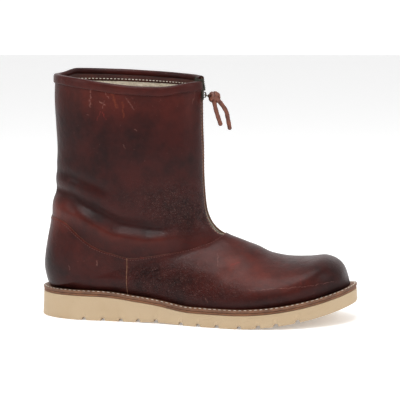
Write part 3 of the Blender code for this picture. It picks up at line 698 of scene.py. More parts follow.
# %% Group: mottling
mottle, mottle_in, mottle_out = group(
    "mottle", [("Vector", VECTOR, None), ("Scale", FLOAT, 20.0), ("Low", FLOAT, 0.4), ("High", FLOAT, 0.6)],
    [("Mask", FLOAT)])
noise = put(mottle, "ShaderNodeTexNoise", {"Vector": mottle_in["Vector"], "Scale": mottle_in["Scale"],
            "Detail": 4.0, "Roughness": 0.6})
ranged = put(mottle, "ShaderNodeMapRange", {"Value": noise.outputs[0], "From Min": mottle_in["Low"],
             "From Max": mottle_in["High"]}, interpolation_type="SMOOTHSTEP")
mottle.links.new(ranged.outputs[0], mottle_out["Mask"])



def mottled(tree, where, scale, low, high):
    """The mottle group's mask: soft blots, with low and high setting how much they cover."""
    return placed(tree, mottle, {"Vector": where, "Scale": scale, "Low": low, "High": high})[0]


# %% Group: leather grain, small cells with rounded tops
grain, grain_in, grain_out = group(
    "leather_grain", [("Vector", VECTOR, None), ("Cells per metre", FLOAT, 900.0), ("Warp", FLOAT, 0.0006)],
    [("Height", FLOAT)])
warp = noise_at(grain, grain_in["Vector"], 420.0, 2.0)
centred = vector_maths(grain, "SUBTRACT", warp["Color"], (0.5, 0.5, 0.5))
moved = put(grain, "ShaderNodeVectorMath", {0: centred.outputs[0]}, operation="SCALE")
grain.links.new(grain_in["Warp"], moved.inputs["Scale"])
bent = vector_maths(grain, "ADD", grain_in["Vector"], moved.outputs[0])
cells = put(grain, "ShaderNodeTexVoronoi", {"Vector": bent.outputs[0], "Scale": grain_in["Cells per metre"]},
            feature="DISTANCE_TO_EDGE")
dome = put(grain, "ShaderNodeMapRange",
           {"Value": cells.outputs["Distance"], "From Min": 0.0, "From Max": 0.32},
           interpolation_type="SMOOTHERSTEP")
grain.links.new(dome.outputs[0], grain_out["Height"])

# %% Group: one scratch, a soft segment in the side view
scratch, scratch_in, scratch_out = group(
    "scratch",
    [("Vector", VECTOR, None), ("Start", VECTOR, None),
     ("Run", VECTOR, (0.01, 0, 0)), ("Width", FLOAT, 0.001)],
    [("Mask", FLOAT)])
from_start = vector_maths(scratch, "SUBTRACT", scratch_in["Vector"], scratch_in["Start"])
onto = vector_maths(scratch, "DOT_PRODUCT", from_start.outputs[0], scratch_in["Run"])
square = vector_maths(scratch, "DOT_PRODUCT", scratch_in["Run"], scratch_in["Run"])
share = maths(scratch, "DIVIDE", onto.outputs["Value"], square.outputs["Value"], clamp=True)
foot = put(scratch, "ShaderNodeVectorMath", {0: scratch_in["Run"]}, operation="SCALE")
scratch.links.new(share, foot.inputs["Scale"])
gap = vector_maths(scratch, "DISTANCE", from_start.outputs[0], foot.outputs[0])
faded = put(scratch, "ShaderNodeMapRange", {"Value": gap.outputs["Value"], "From Min": scratch_in["Width"],
            "From Max": 0.0}, interpolation_type="SMOOTHSTEP")
scratch.links.new(faded.outputs[0], scratch_out["Mask"])


def new_material(name, roughness=0.5, metallic=0.0, coat=0.0, coat_roughness=0.3):
    """A material with its tree, its Principled shader and its Object coordinates."""
    made = bpy.data.materials.new(name)
    made.use_nodes = True
    tree = made.node_tree
    shader = tree.nodes["Principled BSDF"]
    shader.inputs["Roughness"].default_value = roughness
    shader.inputs["Metallic"].default_value = metallic
    shader.inputs["Coat Weight"].default_value = coat
    shader.inputs["Coat Roughness"].default_value = coat_roughness
    return made, tree, shader, put(tree, "ShaderNodeTexCoord").outputs["Object"]


def bumped(tree, shader, height, strength, distance, under=None):
    """Feeds a height into the shader's normal through one Bump node."""
    inputs = {"Height": height, "Strength": strength, "Distance": distance}
    if under is not None:
        inputs["Normal"] = under
    bump = put(tree, "ShaderNodeBump", inputs)
    tree.links.new(bump.outputs[0], shader.inputs["Normal"])
    return bump.outputs[0]


# %% [markdown]
# ### Oxblood leather
# Waxed leather has a dark body, redder clouds where the wax has moved, pale scuffs and a fine
# grain that turns into shiny pebbles where the leather was loose. Each scratch of the real boot
# is a short segment given one by one, so that it sits where an owner would find it.

# %% Oxblood leather
SCRATCHES = (
    # start x and height, end x and height in mm from the heel, width in mm, strength, tone
    (61, 226, 60, 207, 2.2, 0.45, "pale"), (73, 226, 79, 216, 1.6, 0.40, "pale"),
    (80, 226, 87, 208, 4.0, 0.35, "rust"), (70, 213, 76, 209, 1.2, 0.65, "pale"),
    (75, 214, 73, 206, 1.1, 0.55, "pale"), (71, 203, 67, 195, 1.4, 0.65, "red"),
    (73, 203, 76, 195, 1.4, 0.65, "red"), (95, 217, 103, 205, 1.8, 0.35, "pale"),
    (92, 212, 94, 198, 2.6, 0.28, "rust"), (158, 222, 156, 210, 1.4, 0.25, "pale"),
    (163, 213, 161, 202, 1.6, 0.30, "pale"), (56, 200, 59, 199, 1.2, 0.35, "pale"),
    (92, 171, 95, 168, 1.2, 0.35, "pale"), (194, 57, 203, 59, 1.5, 0.75, "red"),
    (245, 38, 292, 42, 0.9, 0.45, "pale"), (215, 36, 245, 38, 0.8, 0.30, "pale"),
    (262, 47, 264, 41, 1.6, 0.45, "red"), (64, 59, 64, 54, 1.4, 0.45, "pale"),
    (35, 53, 37, 49, 1.6, 0.35, "pale"), (172, 27, 175, 23, 1.2, 0.40, "pale"),
    (181, 66, 182, 56, 1.4, 0.30, "pale"), (110, 61, 106, 63, 2.0, 0.40, "red"),
    (165, 168, 164, 160, 2.0, 0.45, "red"), (104, 187, 106, 184, 1.4, 0.3, "pale"),
)
TONES = {"pale": colour(150, 104, 94), "rust": colour(140, 66, 36), "red": colour(118, 36, 32)}


def leather(name, body, clouds, light, roughness=0.36, marks=()):
    """Waxed leather: body colour, redder clouds, lighter pulled places that are also a painted
    highlight on fold ridges, painted shade where the dark attribute is high, marks, and a pebbled
    grain with painted highlights on the pebble tops.
    """
    body, clouds, light = colour(*body), colour(*clouds), colour(*light)
    made, tree, shader, where = new_material(name, roughness, coat=0.08, coat_roughness=0.24)
    shader.inputs["Specular IOR Level"].default_value = 0.13
    fields = {key: put(tree, "ShaderNodeAttribute", attribute_name=key).outputs["Fac"]
              for key in ("warm", "dark", "pebble")}
    broad = mottled(tree, where, 27.0, 0.34, 0.70)
    fine = mottled(tree, where, 95.0, 0.35, 0.70)
    specks = mottled(tree, where, 330.0, 0.66, 0.74)
    tone = mixed(tree, times(tree, broad, 0.70), body, clouds)
    tone = mixed(tree, times(tree, fine, 0.35), tone, clouds)
    # lighter where warm is high: pulled leather, and a painted highlight on the fold ridges
    uneven = maths(tree, "ADD", times(tree, fine, 0.35), 0.55)
    pulled_and_highlit = times(tree, fields["warm"], uneven, clamp=True)
    tone = mixed(tree, pulled_and_highlit, tone, light)
    # painted shade: the colour darkens with the dark attribute, in fold troughs and along the welt
    darkened = times(tree, fields["dark"], 0.62, clamp=True)
    shade = mixed(tree, darkened, (1, 1, 1, 1), (0.40, 0.31, 0.29, 1))
    tone = mixed(tree, 1.0, tone, shade, "MULTIPLY")
    tone = mixed(tree, times(tree, specks, 0.10), tone, TONES["pale"])
    pebbles = placed(tree, grain, {"Vector": where, "Cells per metre": 520.0, "Warp": 0.0012})[0]
    # painted highlight: pale pebble tops, broken up by small blots, stand in for their glints
    glint_breakup = mottled(tree, where, 420.0, 0.44, 0.62)
    painted_pebble_glints = times(tree, times(tree, pebbles, glint_breakup), times(tree, fields["pebble"], 0.24))
    tone = mixed(tree, painted_pebble_glints, tone, colour(134, 98, 90))
    if marks:
        parts = put(tree, "ShaderNodeSeparateXYZ", {0: where})
        outer = maths(tree, "LESS_THAN", parts.outputs[1], -0.006)
        wobble = noise_at(tree, where, 260.0, 2.0)
        offset = vector_maths(tree, "SUBTRACT", wobble["Color"], (0.5, 0.5, 0.5))
        offset = vector_maths(tree, "MULTIPLY", offset.outputs[0], (0.004, 0.004, 0.004))
        bent = vector_maths(tree, "ADD", where, offset.outputs[0])
        flat = vector_maths(tree, "MULTIPLY", bent.outputs[0], (1, 0, 1))
        broken = mottled(tree, where, 600.0, 0.34, 0.58)
        for x0, z0, x1, z1, width, strength, kind in marks:
            start = np.array((x0 / 1000 - to_frame[0], 0, z0 / 1000))
            run = np.array(((x1 - x0) / 1000, 0, (z1 - z0) / 1000))
            segment = {"Vector": flat.outputs[0], "Start": start, "Run": run, "Width": 0.55 * width / 1000}
            mask = times(tree, placed(tree, scratch, segment)[0], outer)
            mask = times(tree, mask, times(tree, broken, 0.8 * strength))
            tone = mixed(tree, mask, tone, TONES[kind])
    tree.links.new(tone, shader.inputs["Base Color"])
    patchy = mottled(tree, where, 38.0, 0.3, 0.7)
    gloss = maths(tree, "SUBTRACT", roughness + 0.07, times(tree, patchy, 0.10))
    gloss = maths(tree, "SUBTRACT", gloss, times(tree, fields["pebble"], 0.18), clamp=True)
    trough = maths(tree, "SUBTRACT", fields["dark"], 0.7, clamp=True)
    gloss = maths(tree, "ADD", gloss, times(tree, trough, 0.9), clamp=True)
    tree.links.new(gloss, shader.inputs["Roughness"])
    pores = placed(tree, grain, {"Vector": where, "Cells per metre": 1500.0, "Warp": 0.0006})[0]
    ripple = noise_at(tree, where, 150.0, 3.0)[0]
    low = bumped(tree, shader, ripple, 0.35, 0.0012)
    low = bumped(tree, shader, pores, 0.22, 0.00015, low)
    strength = times(tree, fields["pebble"], 0.9, clamp=True)
    bumped(tree, shader, times(tree, pebbles, strength), 1.0, 0.0008, low)
    return made


oxblood = leather("oxblood_leather", (31, 9, 8), (62, 19, 15), (101, 39, 28), marks=SCRATCHES)
binding_leather = leather("binding_leather", (38, 11, 10), (66, 21, 17), (100, 41, 30), 0.34)


# %% [markdown]
# ### Plain finishes
# Raw edges, wool, thread, board, thong and metal all vary in the same way: two close colours in
# blots of two sizes, and a bump. One function makes them all, and only the numbers differ.

# %% Plain finishes: raw edges, wool, thread, board, thong and metal
def simple(name, low, high, scale, roughness, bumps, metallic=0.0, coat=0.0):
    """Two colours clouded together, with bumps as pairs of cells per metre, depth and strength."""
    low, high = colour(*low), colour(*high)
    made, tree, shader, where = new_material(name, roughness, metallic, coat)
    clouds = mottled(tree, where, scale, 0.35, 0.68)
    fine = mottled(tree, where, 9 * scale, 0.30, 0.72)
    both = maths(tree, "ADD", times(tree, clouds, 0.65), times(tree, fine, 0.35), clamp=True)
    tree.links.new(mixed(tree, both, low, high), shader.inputs["Base Color"])
    tree.links.new(maths(tree, "ADD", roughness - 0.05, times(tree, fine, 0.10)), shader.inputs["Roughness"])
    under = None
    for cells, depth, strength in bumps:
        noise = noise_at(tree, where, cells, 3.0)[0]
        under = bumped(tree, shader, noise, strength, depth, under)
    return made


raw_edge = simple("raw_edge", (88, 54, 38), (136, 96, 70), 60.0, 0.8, [(1400.0, 0.0002, 0.8)])
facing = simple("facing_leather", (60, 30, 26), (86, 44, 36), 40.0, 0.5, [(900.0, 0.0002, 0.5)])
wool = simple("wool_lining", (188, 174, 152), (224, 212, 192), 90.0, 0.95,
              [(520.0, 0.0012, 1.0), (1700.0, 0.0005, 0.8)])
welt_brown = simple("welt_leather", (86, 54, 36), (128, 86, 58), 70.0, 0.6, [(900.0, 0.0003, 0.6)])
midsole_brown = simple("midsole_leather", (92, 56, 34), (134, 88, 56), 80.0, 0.65, [(1100.0, 0.0003, 0.7)])
pale_thread = simple("pale_thread", (196, 186, 170), (226, 218, 204), 200.0, 0.7, [(2600.0, 0.0002, 0.6)])
dark_thread = simple("dark_thread", (70, 34, 28), (100, 52, 42), 200.0, 0.7, [(2600.0, 0.0002, 0.6)])
tan_thread = simple("tan_thread", (140, 96, 76), (170, 122, 98), 200.0, 0.7, [(2600.0, 0.0002, 0.6)])
board = simple("insole_leather", (150, 112, 76), (178, 138, 98), 30.0, 0.75, [(700.0, 0.0003, 0.5)])
antique = simple("antique_metal", (17, 14, 12), (88, 78, 62), 420.0, 0.48, [(900.0, 0.0002, 0.4)], 0.5)
thong_tan = simple("thong_leather", (70, 33, 24), (128, 70, 47), 160.0, 0.5,
                   [(700.0, 0.0003, 0.5), (1800.0, 0.0002, 0.5)], coat=0.1)

# %% [markdown]
# ### Foam and zip cloth
# The sole's foam is cream with tan specks, and dirtier near the ground, so its colour also reads
# the height. The zip's cloth is woven: two crossed waves stand for its warp and weft.

# %% Cream foam rubber: fine skin, faint dirt towards the ground
foam, foam_tree, foam_shader, foam_where = new_material("cream_sole", 0.6)
foam_clouds = mottled(foam_tree, foam_where, 26.0, 0.35, 0.7)
foam_specks = mottled(foam_tree, foam_where, 700.0, 0.60, 0.70)
foam_tone = mixed(foam_tree, times(foam_tree, foam_clouds, 0.5), colour(184, 161, 130), colour(176, 151, 117))
foam_tone = mixed(foam_tree, times(foam_tree, foam_specks, 0.18), foam_tone, colour(160, 129, 94))
foam_parts = put(foam_tree, "ShaderNodeSeparateXYZ", {0: foam_where})
foam_low = put(foam_tree, "ShaderNodeMapRange",
               {"Value": foam_parts.outputs[2], "From Min": 0.006, "From Max": 0.0})
foam_dirt = times(foam_tree, foam_low.outputs[0], times(foam_tree, foam_clouds, 0.5), clamp=True)
foam_tone = mixed(foam_tree, foam_dirt, foam_tone, colour(168, 139, 106))
foam_tree.links.new(foam_tone, foam_shader.inputs["Base Color"])
foam_skin = noise_at(foam_tree, foam_where, 900.0, 3.0)[0]
bumped(foam_tree, foam_shader, foam_skin, 0.5, 0.0003)

# %% Woven zip tape: two crossed sets of threads
tape_cloth, tape_tree, tape_shader, tape_where = new_material("zip_tape", 0.85)


def threads(scale, direction):
    """One set of threads as a sine wave along an axis."""
    inputs = {"Vector": tape_where, "Scale": scale}
    return put(tape_tree, "ShaderNodeTexWave", inputs, bands_direction=direction).outputs[1]


tape_height = times(tape_tree, threads(260.0, "Y"), threads(200.0, "Z"))
tape_tone = mixed(tape_tree, tape_height, colour(34, 32, 26), colour(70, 66, 52))
tape_tree.links.new(tape_tone, tape_shader.inputs["Base Color"])
bumped(tape_tree, tape_shader, tape_height, 0.6, 0.0003)

# %% [markdown]
# ## The pull's thong: two flat tails and a knot
# A strip of leather is drawn through the pull and tied in a fist knot, and its two ends hang
# down. A flat strip keeps its section along a path, so it is swept: the section's wide axis
# lies in the path's upright plane, as on the real thong, and the ends are cut round.

# %% Thong tails
thong_width, thong_thickness = 0.0042, 0.0017
knot_centre = np.array((0.01846, 0.00359, 0.21425))
knot_size = np.array((0.0112, 0.0098, 0.0128))

TAIL_OUTER = np.array((
    # plan x from the heel, y and height: the first points are inside the knot
    (0.1736, -0.0004, 0.2172), (0.1741, -0.0015, 0.2125), (0.1751, -0.0025, 0.2073),
    (0.1767, -0.0030, 0.2009), (0.1788, -0.0032, 0.1943), (0.1812, -0.0030, 0.1869),
))
TAIL_INNER = np.array((
    (0.1755, 0.0004, 0.2160), (0.1771, 0.0010, 0.2132), (0.17905, 0.0015, 0.2100), (0.1827, 0.0021, 0.2050),
    (0.1853, 0.0024, 0.2005), (0.1869, 0.0026, 0.1932), (0.1889, 0.0024, 0.1825),
))


def strap_section(count=16):
    """A superellipse one unit wide and high each way, with more points near its wide ends."""
    turn = np.linspace(0, 2 * np.pi, count + 1)[:-1]
    turn = turn - 0.28 * np.sin(2 * turn)
    return squared(np.cos(turn), 0.75), squared(np.sin(turn), 0.75)


def make_tail(name, route, node):
    """Sweeps the strap's section along the route. The width follows a half ellipse at the tip."""
    route = route - (sole_length / 2, (sides.min() + sides.max()) / 2, 0)
    run = np.concatenate([[0], np.cumsum(np.linalg.norm(np.diff(route, axis=0), axis=1))])
    at = np.linspace(0, run[-1], 90)
    centre = np.stack([smooth(run, route[:, i], at) for i in range(3)], axis=-1)
    along = unit(np.gradient(centre, axis=0))
    wide = unit(np.stack([-along[:, 2], 0 * at, along[:, 0]], axis=-1))
    deep = np.cross(along, wide)
    tip = np.sqrt(np.clip(1 - np.clip((at - run[-1] + 0.0021) / 0.0021, 0, 1) ** 2, 0.01, 1))
    uneven = 1 + 0.05 * np.sin(900 * at) + 0.03 * np.sin(2300 * at + 1)
    x, y = strap_section()
    rings = (centre[:, None] + wide[:, None] * (x * (tip * uneven)[:, None] * thong_width / 2)[..., None]
             + deep[:, None] * (y * np.sqrt(tip)[:, None] * thong_thickness / 2)[..., None])
    tail = tubes(name, rings, thong_tan, sharp=50)
    dress(tail, "zip_pull", "thong", node)


make_tail("thong_strip_outer", TAIL_OUTER, "thong_tail_outer")
make_tail("thong_strip_inner", TAIL_INNER, "thong_tail_inner")

# %% Knot: flat loops wound over and under each other round a small core
band_half_thickness = 0.00085


def wound_band(tilt, swing, radius, phase, half_width):
    """A closed band round the knot's ellipsoid, in a plane turned by tilt about Y and swing about X.
    Its distance from the middle rises and falls twice a turn, so that bands pass over and under."""
    turn = np.linspace(0, 2 * np.pi, 73)[:-1]
    u = np.array((math.cos(tilt), 0, math.sin(tilt)))
    axis = np.array((-math.sin(tilt) * math.cos(swing), math.sin(swing), math.cos(tilt) * math.cos(swing)))
    v = np.cross(axis, u)
    aim = np.cos(turn)[:, None] * u + np.sin(turn)[:, None] * v
    reach = 1 / np.linalg.norm(aim / (knot_size / 2), axis=1)
    spine = knot_centre + aim * (reach * (radius + 0.11 * np.sin(2 * turn + phase)))[:, None]
    x, y = strap_section()
    across, outward = (x * half_width)[None, :, None], (y * band_half_thickness)[None, :, None]
    return spine[:, None] + axis * across + aim[:, None] * outward


core_turn, core_rise = np.linspace(0, 2 * np.pi, 33)[:-1], np.linspace(-1, 1, 19)[1:-1] * np.pi / 2
core_round = np.cos(core_rise)[:, None]
core = np.stack([core_round * np.cos(core_turn), core_round * np.sin(core_turn),
                 np.sin(core_rise)[:, None] + 0 * core_turn], axis=-1)
core_knot = tubes("thong_knot_core", knot_centre + core * knot_size * 0.37, thong_tan, sharp=180)
dress(core_knot, "zip_pull", "thong", "thong_knot")
BANDS = (
    # tilt and swing in degrees, radius as a share, phase, half width in mm
    (38, 8, 0.86, 0.0, 1.8), (-48, 30, 0.80, 1.6, 1.8), (80, -28, 0.80, 3.1, 1.7), (12, 66, 0.78, 0.9, 1.8),
)
for number, (tilt, swing, radius, phase, half) in enumerate(BANDS):
    loop = wound_band(math.radians(tilt), math.radians(swing), radius, phase, half / 1000)
    band = tubes(f"thong_knot_band_{number + 1}", loop, thong_tan, wrap_rows=True, sharp=60)
    dress(band, "zip_pull", "thong")

# %% [markdown]
# ## The foam wedge sole
# The real sole is one block of foam rubber with rounded lower edges and deep grooves across it.
# A box with cutters would leave hard corners, so the sole is carried as a rounded section along
# its length, and the grooves and the fine zigzag of the tread are part of the height function.

# %% Outsole
groove_depth, groove_width = 0.0028, 0.0052
tread_pitch, tread_depth, tread_swing = 0.0042, 0.0006, 0.0016
sole_corner = 0.0012

groove_lines = np.array((-0.5, -0.42, -0.3, 0, 0.3, 0.42, 0.5)) * groove_width
groove_sides = (GROOVES[:, None] * sole_length + groove_lines).ravel()
stations = stations_along(sole_corner, 250)
stations = np.sort(np.concatenate([stations, groove_sides]))
bottom_shares = np.linspace(-1, 1, 71)
bend = np.linspace(0, np.pi / 2, 5)[1:]


def tread_height(x, y):
    """Depth cut into the tread: smooth-sided grooves across, and a shallow zigzag between them."""
    near = np.abs(x[..., None] - GROOVES * sole_length).min(axis=-1)
    groove = groove_depth * (1 - ease(0.26 * groove_width, 0.5 * groove_width, near))
    zigzag = np.abs((y / 0.0105) % 2 - 1) * tread_swing
    wave = np.cos(2 * np.pi * (x + zigzag) / tread_pitch)
    land = ease(0.5 * groove_width, 0.7 * groove_width, near)
    return np.maximum(groove, tread_depth * ease(0.1, 0.9, wave) * land)


station = stations[:, None]
tread_half = np.maximum(sole_half(station, sole_corner), 2e-4)
wide_half = np.maximum(sole_half(station, 0), 4e-4)
rim_half = np.maximum(sole_half(station, sole_taper), 2e-4)
bottom_y = tread_half * bottom_shares
rim_fade = ease(0.0, 0.0028, tread_half - np.abs(bottom_y))
deep = tread_height(station + 0 * bottom_y, bottom_y)
from_groove = np.abs(station - GROOVES * sole_length).min(axis=-1)[:, None]
shallow = groove_depth * (1 - ease(0.26 * groove_width, 0.5 * groove_width, from_groove)) + 0 * bottom_y
cut = shallow + (np.maximum(deep, shallow) - shallow) * rim_fade
bottom_z = sole_bottom(station) + cut
low_z = sole_bottom(station) + cut[:, :1]
corner_y = tread_half + (wide_half - tread_half) * np.sin(bend)
corner_z = low_z + sole_corner * (1 - np.cos(bend))
wall = np.linspace(0, 1, 7)[1:]
belly = 0.0006 * np.sin(np.pi * wall)
wall_y = wide_half + (rim_half - wide_half) * wall - belly * ease(0, 0.02, wide_half)
wall_z = low_z + sole_corner + (sole_top(station) - low_z - sole_corner) * wall
wall_z[:, -1] = sole_top(stations)
right_y = np.concatenate([corner_y, wall_y], axis=1)
right_z = np.concatenate([corner_z, wall_z], axis=1)
section_y = np.concatenate([bottom_y, right_y, -right_y[:, ::-1]], axis=1)
section_z = np.concatenate([bottom_z, right_z, right_z[:, ::-1]], axis=1)
section = np.stack([station + 0 * section_y, sole_centre(station) + section_y, section_z], axis=-1)
outsole = tubes("outsole_foam", section - to_frame, foam, sharp=50)
dress(outsole, "boot", "sole", "outsole")

# %% [markdown]
# ## Midsole and welt
# A thin leather midsole lies on the foam, and the welt is a strip stitched round its rim. The
# strip keeps one section all the way, so its profile is swept round the outline. A shallow
# channel near its outer edge holds the stitches.

# %% Midsole
layer_x = stations_along(midsole_inset, 220)[:, None]
layer_half = np.maximum(sole_half(layer_x, midsole_inset), 2e-4)
edge_turn = np.linspace(-np.pi / 2, np.pi / 2, 7)
edge_y = layer_half - 0.0004 * (1 - np.cos(edge_turn))
edge_z = midsole_bottom(layer_x) + midsole_thickness * (1 + np.sin(edge_turn)) / 2
layer_y = np.concatenate([edge_y, -edge_y[:, ::-1]], axis=1)
layer_z = np.concatenate([edge_z, edge_z[:, ::-1]], axis=1)
layer = np.stack([layer_x + 0 * layer_y, sole_centre(layer_x) + layer_y, layer_z], axis=-1)
midsole = tubes("midsole_leather_layer", layer - to_frame, midsole_brown, sharp=60)
dress(midsole, "boot", "welt", "midsole")

# %% Welt strip
stitch_inset = 0.0028
WELT_PROFILE = np.array((
    # inset from the outline and height over the strip's underside, in mm
    (1.25, 0.00), (1.05, 0.20), (1.00, 0.60), (1.06, 1.15), (1.00, 1.70), (1.08, 2.15), (1.30, 2.36),
    (1.70, 2.40), (2.05, 2.38), (2.35, 2.18), (2.80, 2.10), (3.25, 2.18), (3.55, 2.38), (4.00, 2.40),
    (7.00, 2.40), (12.90, 2.40), (13.00, 2.30), (13.00, 0.10), (12.90, 0.00), (7.00, 0.00),
)) / 1000
welt_turn = (np.linspace(0, 2 * np.pi, 721)[:-1] + 1e-6)[:, None]
welt_grid = rim_points(welt_turn, WELT_PROFILE[:, 0], welt_bottom)
welt_grid[..., 2] += WELT_PROFILE[:, 1]
welt = tubes("welt_strip", welt_grid - to_frame, welt_brown, wrap_rows=True, sharp=60)
dress(welt, "boot", "welt", "welt")


# %% Stitches: short rods whose ends dip into the leather
def stitches(name, centres, forward, up, size, finish):
    """One closed rod a stitch: an ellipse swept forward, thin and low at both ends."""
    long, wide, high = size
    along = np.linspace(-1, 1, 7)
    swell = np.sqrt(np.clip(1 - np.abs(along) ** 3, 0.02, 1))
    around = np.linspace(0, 2 * np.pi, 7)[:-1]
    across = unit(np.cross(up, forward))
    c, f, a, u = (v[:, None, None] for v in (centres, forward, across, up))
    ring_y = (swell[:, None] * np.cos(around) * wide / 2)[None, ..., None]
    dip = high * 0.9 * along[:, None] ** 4
    ring_z = (swell[:, None] * np.sin(around) * high / 2 - dip)[None, ..., None]
    ring_x = (along[:, None] * long / 2 + 0 * around)[None, ..., None]
    rods = c + f * ring_x + a * ring_y + u * ring_z
    return dress(tubes(name, rods, finish, sharp=180), "boot", "stitching")


def read_along(directions, places):
    """Directions known evenly along a line, read at each stitch's place and made length one."""
    even = np.linspace(0, places[-1], len(directions))
    return unit(np.stack([np.interp(places, even, directions[:, i]) for i in range(3)], axis=1))


outline = rim_points(np.linspace(1e-4, 2 * np.pi - 1e-4, 4000), stitch_inset, welt_top)
centres, forward, _ = spaced(outline, 0.0050)
centres[:, 2] -= 0.0001
stitches("welt_stitches", centres - to_frame, forward, np.tile((0.0, 0, 1), (len(centres), 1)),
         (0.0039, 0.0013, 0.0009), pale_thread)

# %% [markdown]
# ## The leather panels
# Each panel is a grid between its own seams, laid on the upper's surface and given a thickness.
# The lower panels stand one leather's thickness proud of the shaft, and their cut edges stay
# raw and pale. Grid lines crowd together near an edge, so that it can roll over slightly.

# %% Spacing near edges
edge_lines = np.array((0.0, 0.35, 0.9)) / 1000


def crowded(count, length, both=True):
    """Shares from 0 to 1 with extra lines close to one edge or both."""
    near = edge_lines / length
    inner = np.linspace(near[-1] * 2, 1 - near[-1] * 2 if both else 1, count)
    return np.concatenate([near, inner, (1 - near)[::-1]]) if both else np.concatenate([near, inner])


def sheet_of(row, turn, face, back, edge_distance):
    """One grid of a panel: its face drops a little at the cut edge, as pressed leather does."""
    points, normals = upper_at(row, turn)
    drop = 0.00035 * np.exp(-((edge_distance / 0.0005) ** 2))
    sheet = {"points": points, "normals": normals, "face": face - drop, "back": back}
    # these attributes include painted shade (dark) and a painted highlight on fold ridges (warm)
    sheet.update(wear_and_painted_light(points, turn))
    sheet["warm"] = sheet["warm"] + 0.35 * np.exp(-((edge_distance / 0.0012) ** 2))
    return sheet


# %% Shaft
slit_half, slit_spread = 0.0033, 0.0036


def slit_at(down, turn):
    """Half width of the zip's slit: even, wider low down on the outer side, closed at its foot."""
    spread = slit_spread * (np.asarray(turn) < 0) * ease(0.5, 0.85, down)
    return (slit_half + spread) * (1 - ease(0.975, 1.02, down))


shaft_length = 0.16
down = crowded(112, shaft_length, both=False)[:, None]
half_turns = crowded(126, 0.19, both=False)
turns = np.concatenate([-1 + half_turns, (1 - half_turns)[::-1][1:]])[None, :]
rows_wanted = (seam_at(turns) + 0.55) * down
slit_share = share_of(slit_at(rows_wanted / seam_at(turns), turns), rows_wanted, turns)
opened = turns * (1 - slit_share * np.abs(turns) ** 30)
from_slit = (1 - np.abs(opened) - slit_share) * 0.19
shaft_sheet = sheet_of(rows_wanted, opened, 0.0, -0.0014, np.abs(from_slit) + 0.05 * ease(0.9, 1, down))
shaft = shell("shaft_leather", [shaft_sheet], [oxblood, raw_edge])
dress(shaft, "boot", "leather", "upper")

# %% Vamp over the foot, between the two side seams
vamp_down = crowded(150, 0.2, both=False)[:, None]
vamp_turns = crowded(92, 0.12, both=False)[None, :]


def foot_grid(side, down_shares, turn_shares, low_of, high_of, end):
    """Rows and turns of a foot panel, found by a few rounds because each depends on the other."""
    turn = 0.5 + 0 * down_shares * turn_shares
    for _ in range(12):
        row = seam_at(side * turn) + (end - seam_at(side * turn)) * down_shares
        turn = low_of(row, side) + (high_of(row, side) - low_of(row, side)) * turn_shares
        turn = np.maximum(turn, 1e-6)
    return row, side * turn


def whole_width(row, side):
    return 1.0 + 0 * row


def at_back(row, side):
    return 0 * row


vamp_sheets = []
for side in (-1, 1):
    row, turn = foot_grid(side, vamp_down, vamp_turns, side_seam_at, whole_width, last_row)
    from_top = vamp_down * 0.2 + 0 * row
    from_side = (np.abs(turn) - side_seam_at(row, side)) * 0.12 + 0.05 * ease(side_end - 0.3, side_end, row)
    gone = np.minimum(from_top, from_side)
    back = -0.0014 + 0.00145 * (1 - ease(0.006, 0.010, gone))
    vamp_sheets.append(sheet_of(row, turn, panel_step, back, gone))
vamp = shell("vamp_leather", vamp_sheets, [oxblood, raw_edge])
dress(vamp, "boot", "leather", "upper")

# %% Counter round the heel
counter_down = crowded(56, 0.06, both=False)[:, None]
counter_turns = np.append(np.linspace(0, 1, 64)[:-2], 1 - edge_lines[::-1] / 0.1)[None, :]
counter_sheets = []
for side in (-1, 1):
    row, turn = foot_grid(side, counter_down, counter_turns, at_back, side_seam_at, side_end - 0.02)
    turn = np.where(counter_turns == 0, side * 1e-9, turn)
    from_top = counter_down * 0.06 + 0 * row
    from_side = (1 - counter_turns) * 0.1 + 0 * row
    gone = np.minimum(from_top, from_side)
    counter_sheets.append(sheet_of(row, turn, panel_step - 0.0002, 0.00005, gone))
counter = shell("counter_leather", counter_sheets, [oxblood, raw_edge])
dress(counter, "boot", "leather", "upper")

# %% [markdown]
# ## The rolled collar, its facing and the wool inside
# The top edge is wrapped in a folded strip of leather: rounded on top, with a small ledge where
# the strip ends on the outside. Inside follow a band of facing leather with a row of pale
# stitches, and then the wool lining, which stands proud of it and covers the whole inside.

# %% Collar roll: one profile swept along the rim, from one side of the zip round to the other
ROLL = np.array((
    # mm down from the rim, mm out from the upper's surface
    (7.20, 0.10), (7.30, 0.75), (7.00, 1.25), (6.20, 1.42), (4.60, 1.50), (2.60, 1.62),
    (0.90, 1.58), (-0.35, 1.22), (-1.15, 0.45), (-1.45, -0.70), (-1.42, -2.00), (-0.95, -3.15),
    (0.10, -3.85), (1.60, -4.05), (3.40, -3.98), (3.95, -3.70), (4.00, -3.05), (2.00, -2.85),
    (0.10, -2.75), (-0.20, -1.20), (0.10, 0.05), (3.50, 0.10),
)) / 1000
rim_turn = np.linspace(-1, 1, 420)
rim_turn = rim_turn * (1 - share_of(slit_half, 0, rim_turn) * np.abs(rim_turn) ** 30)
rim, rim_out = upper_at(0.0, rim_turn)
rim_down = unit(upper_at(0.35, rim_turn)[0] - rim)
along_rim = np.linspace(0, 60, len(rim))[:, None]
pucker = 1 + 0.05 * np.sin(2.1 * along_rim) * np.sin(0.73 * along_rim + 1)
roll = (rim[:, None] + rim_down[:, None] * (ROLL[:, 0] * (1 + 0.03 * np.sin(0.9 * along_rim)))[..., None]
        + rim_out[:, None] * (np.where(ROLL[:, 1] > 0, ROLL[:, 1] * pucker, ROLL[:, 1]))[..., None])
collar = tubes("collar_roll", roll, binding_leather, sharp=70)
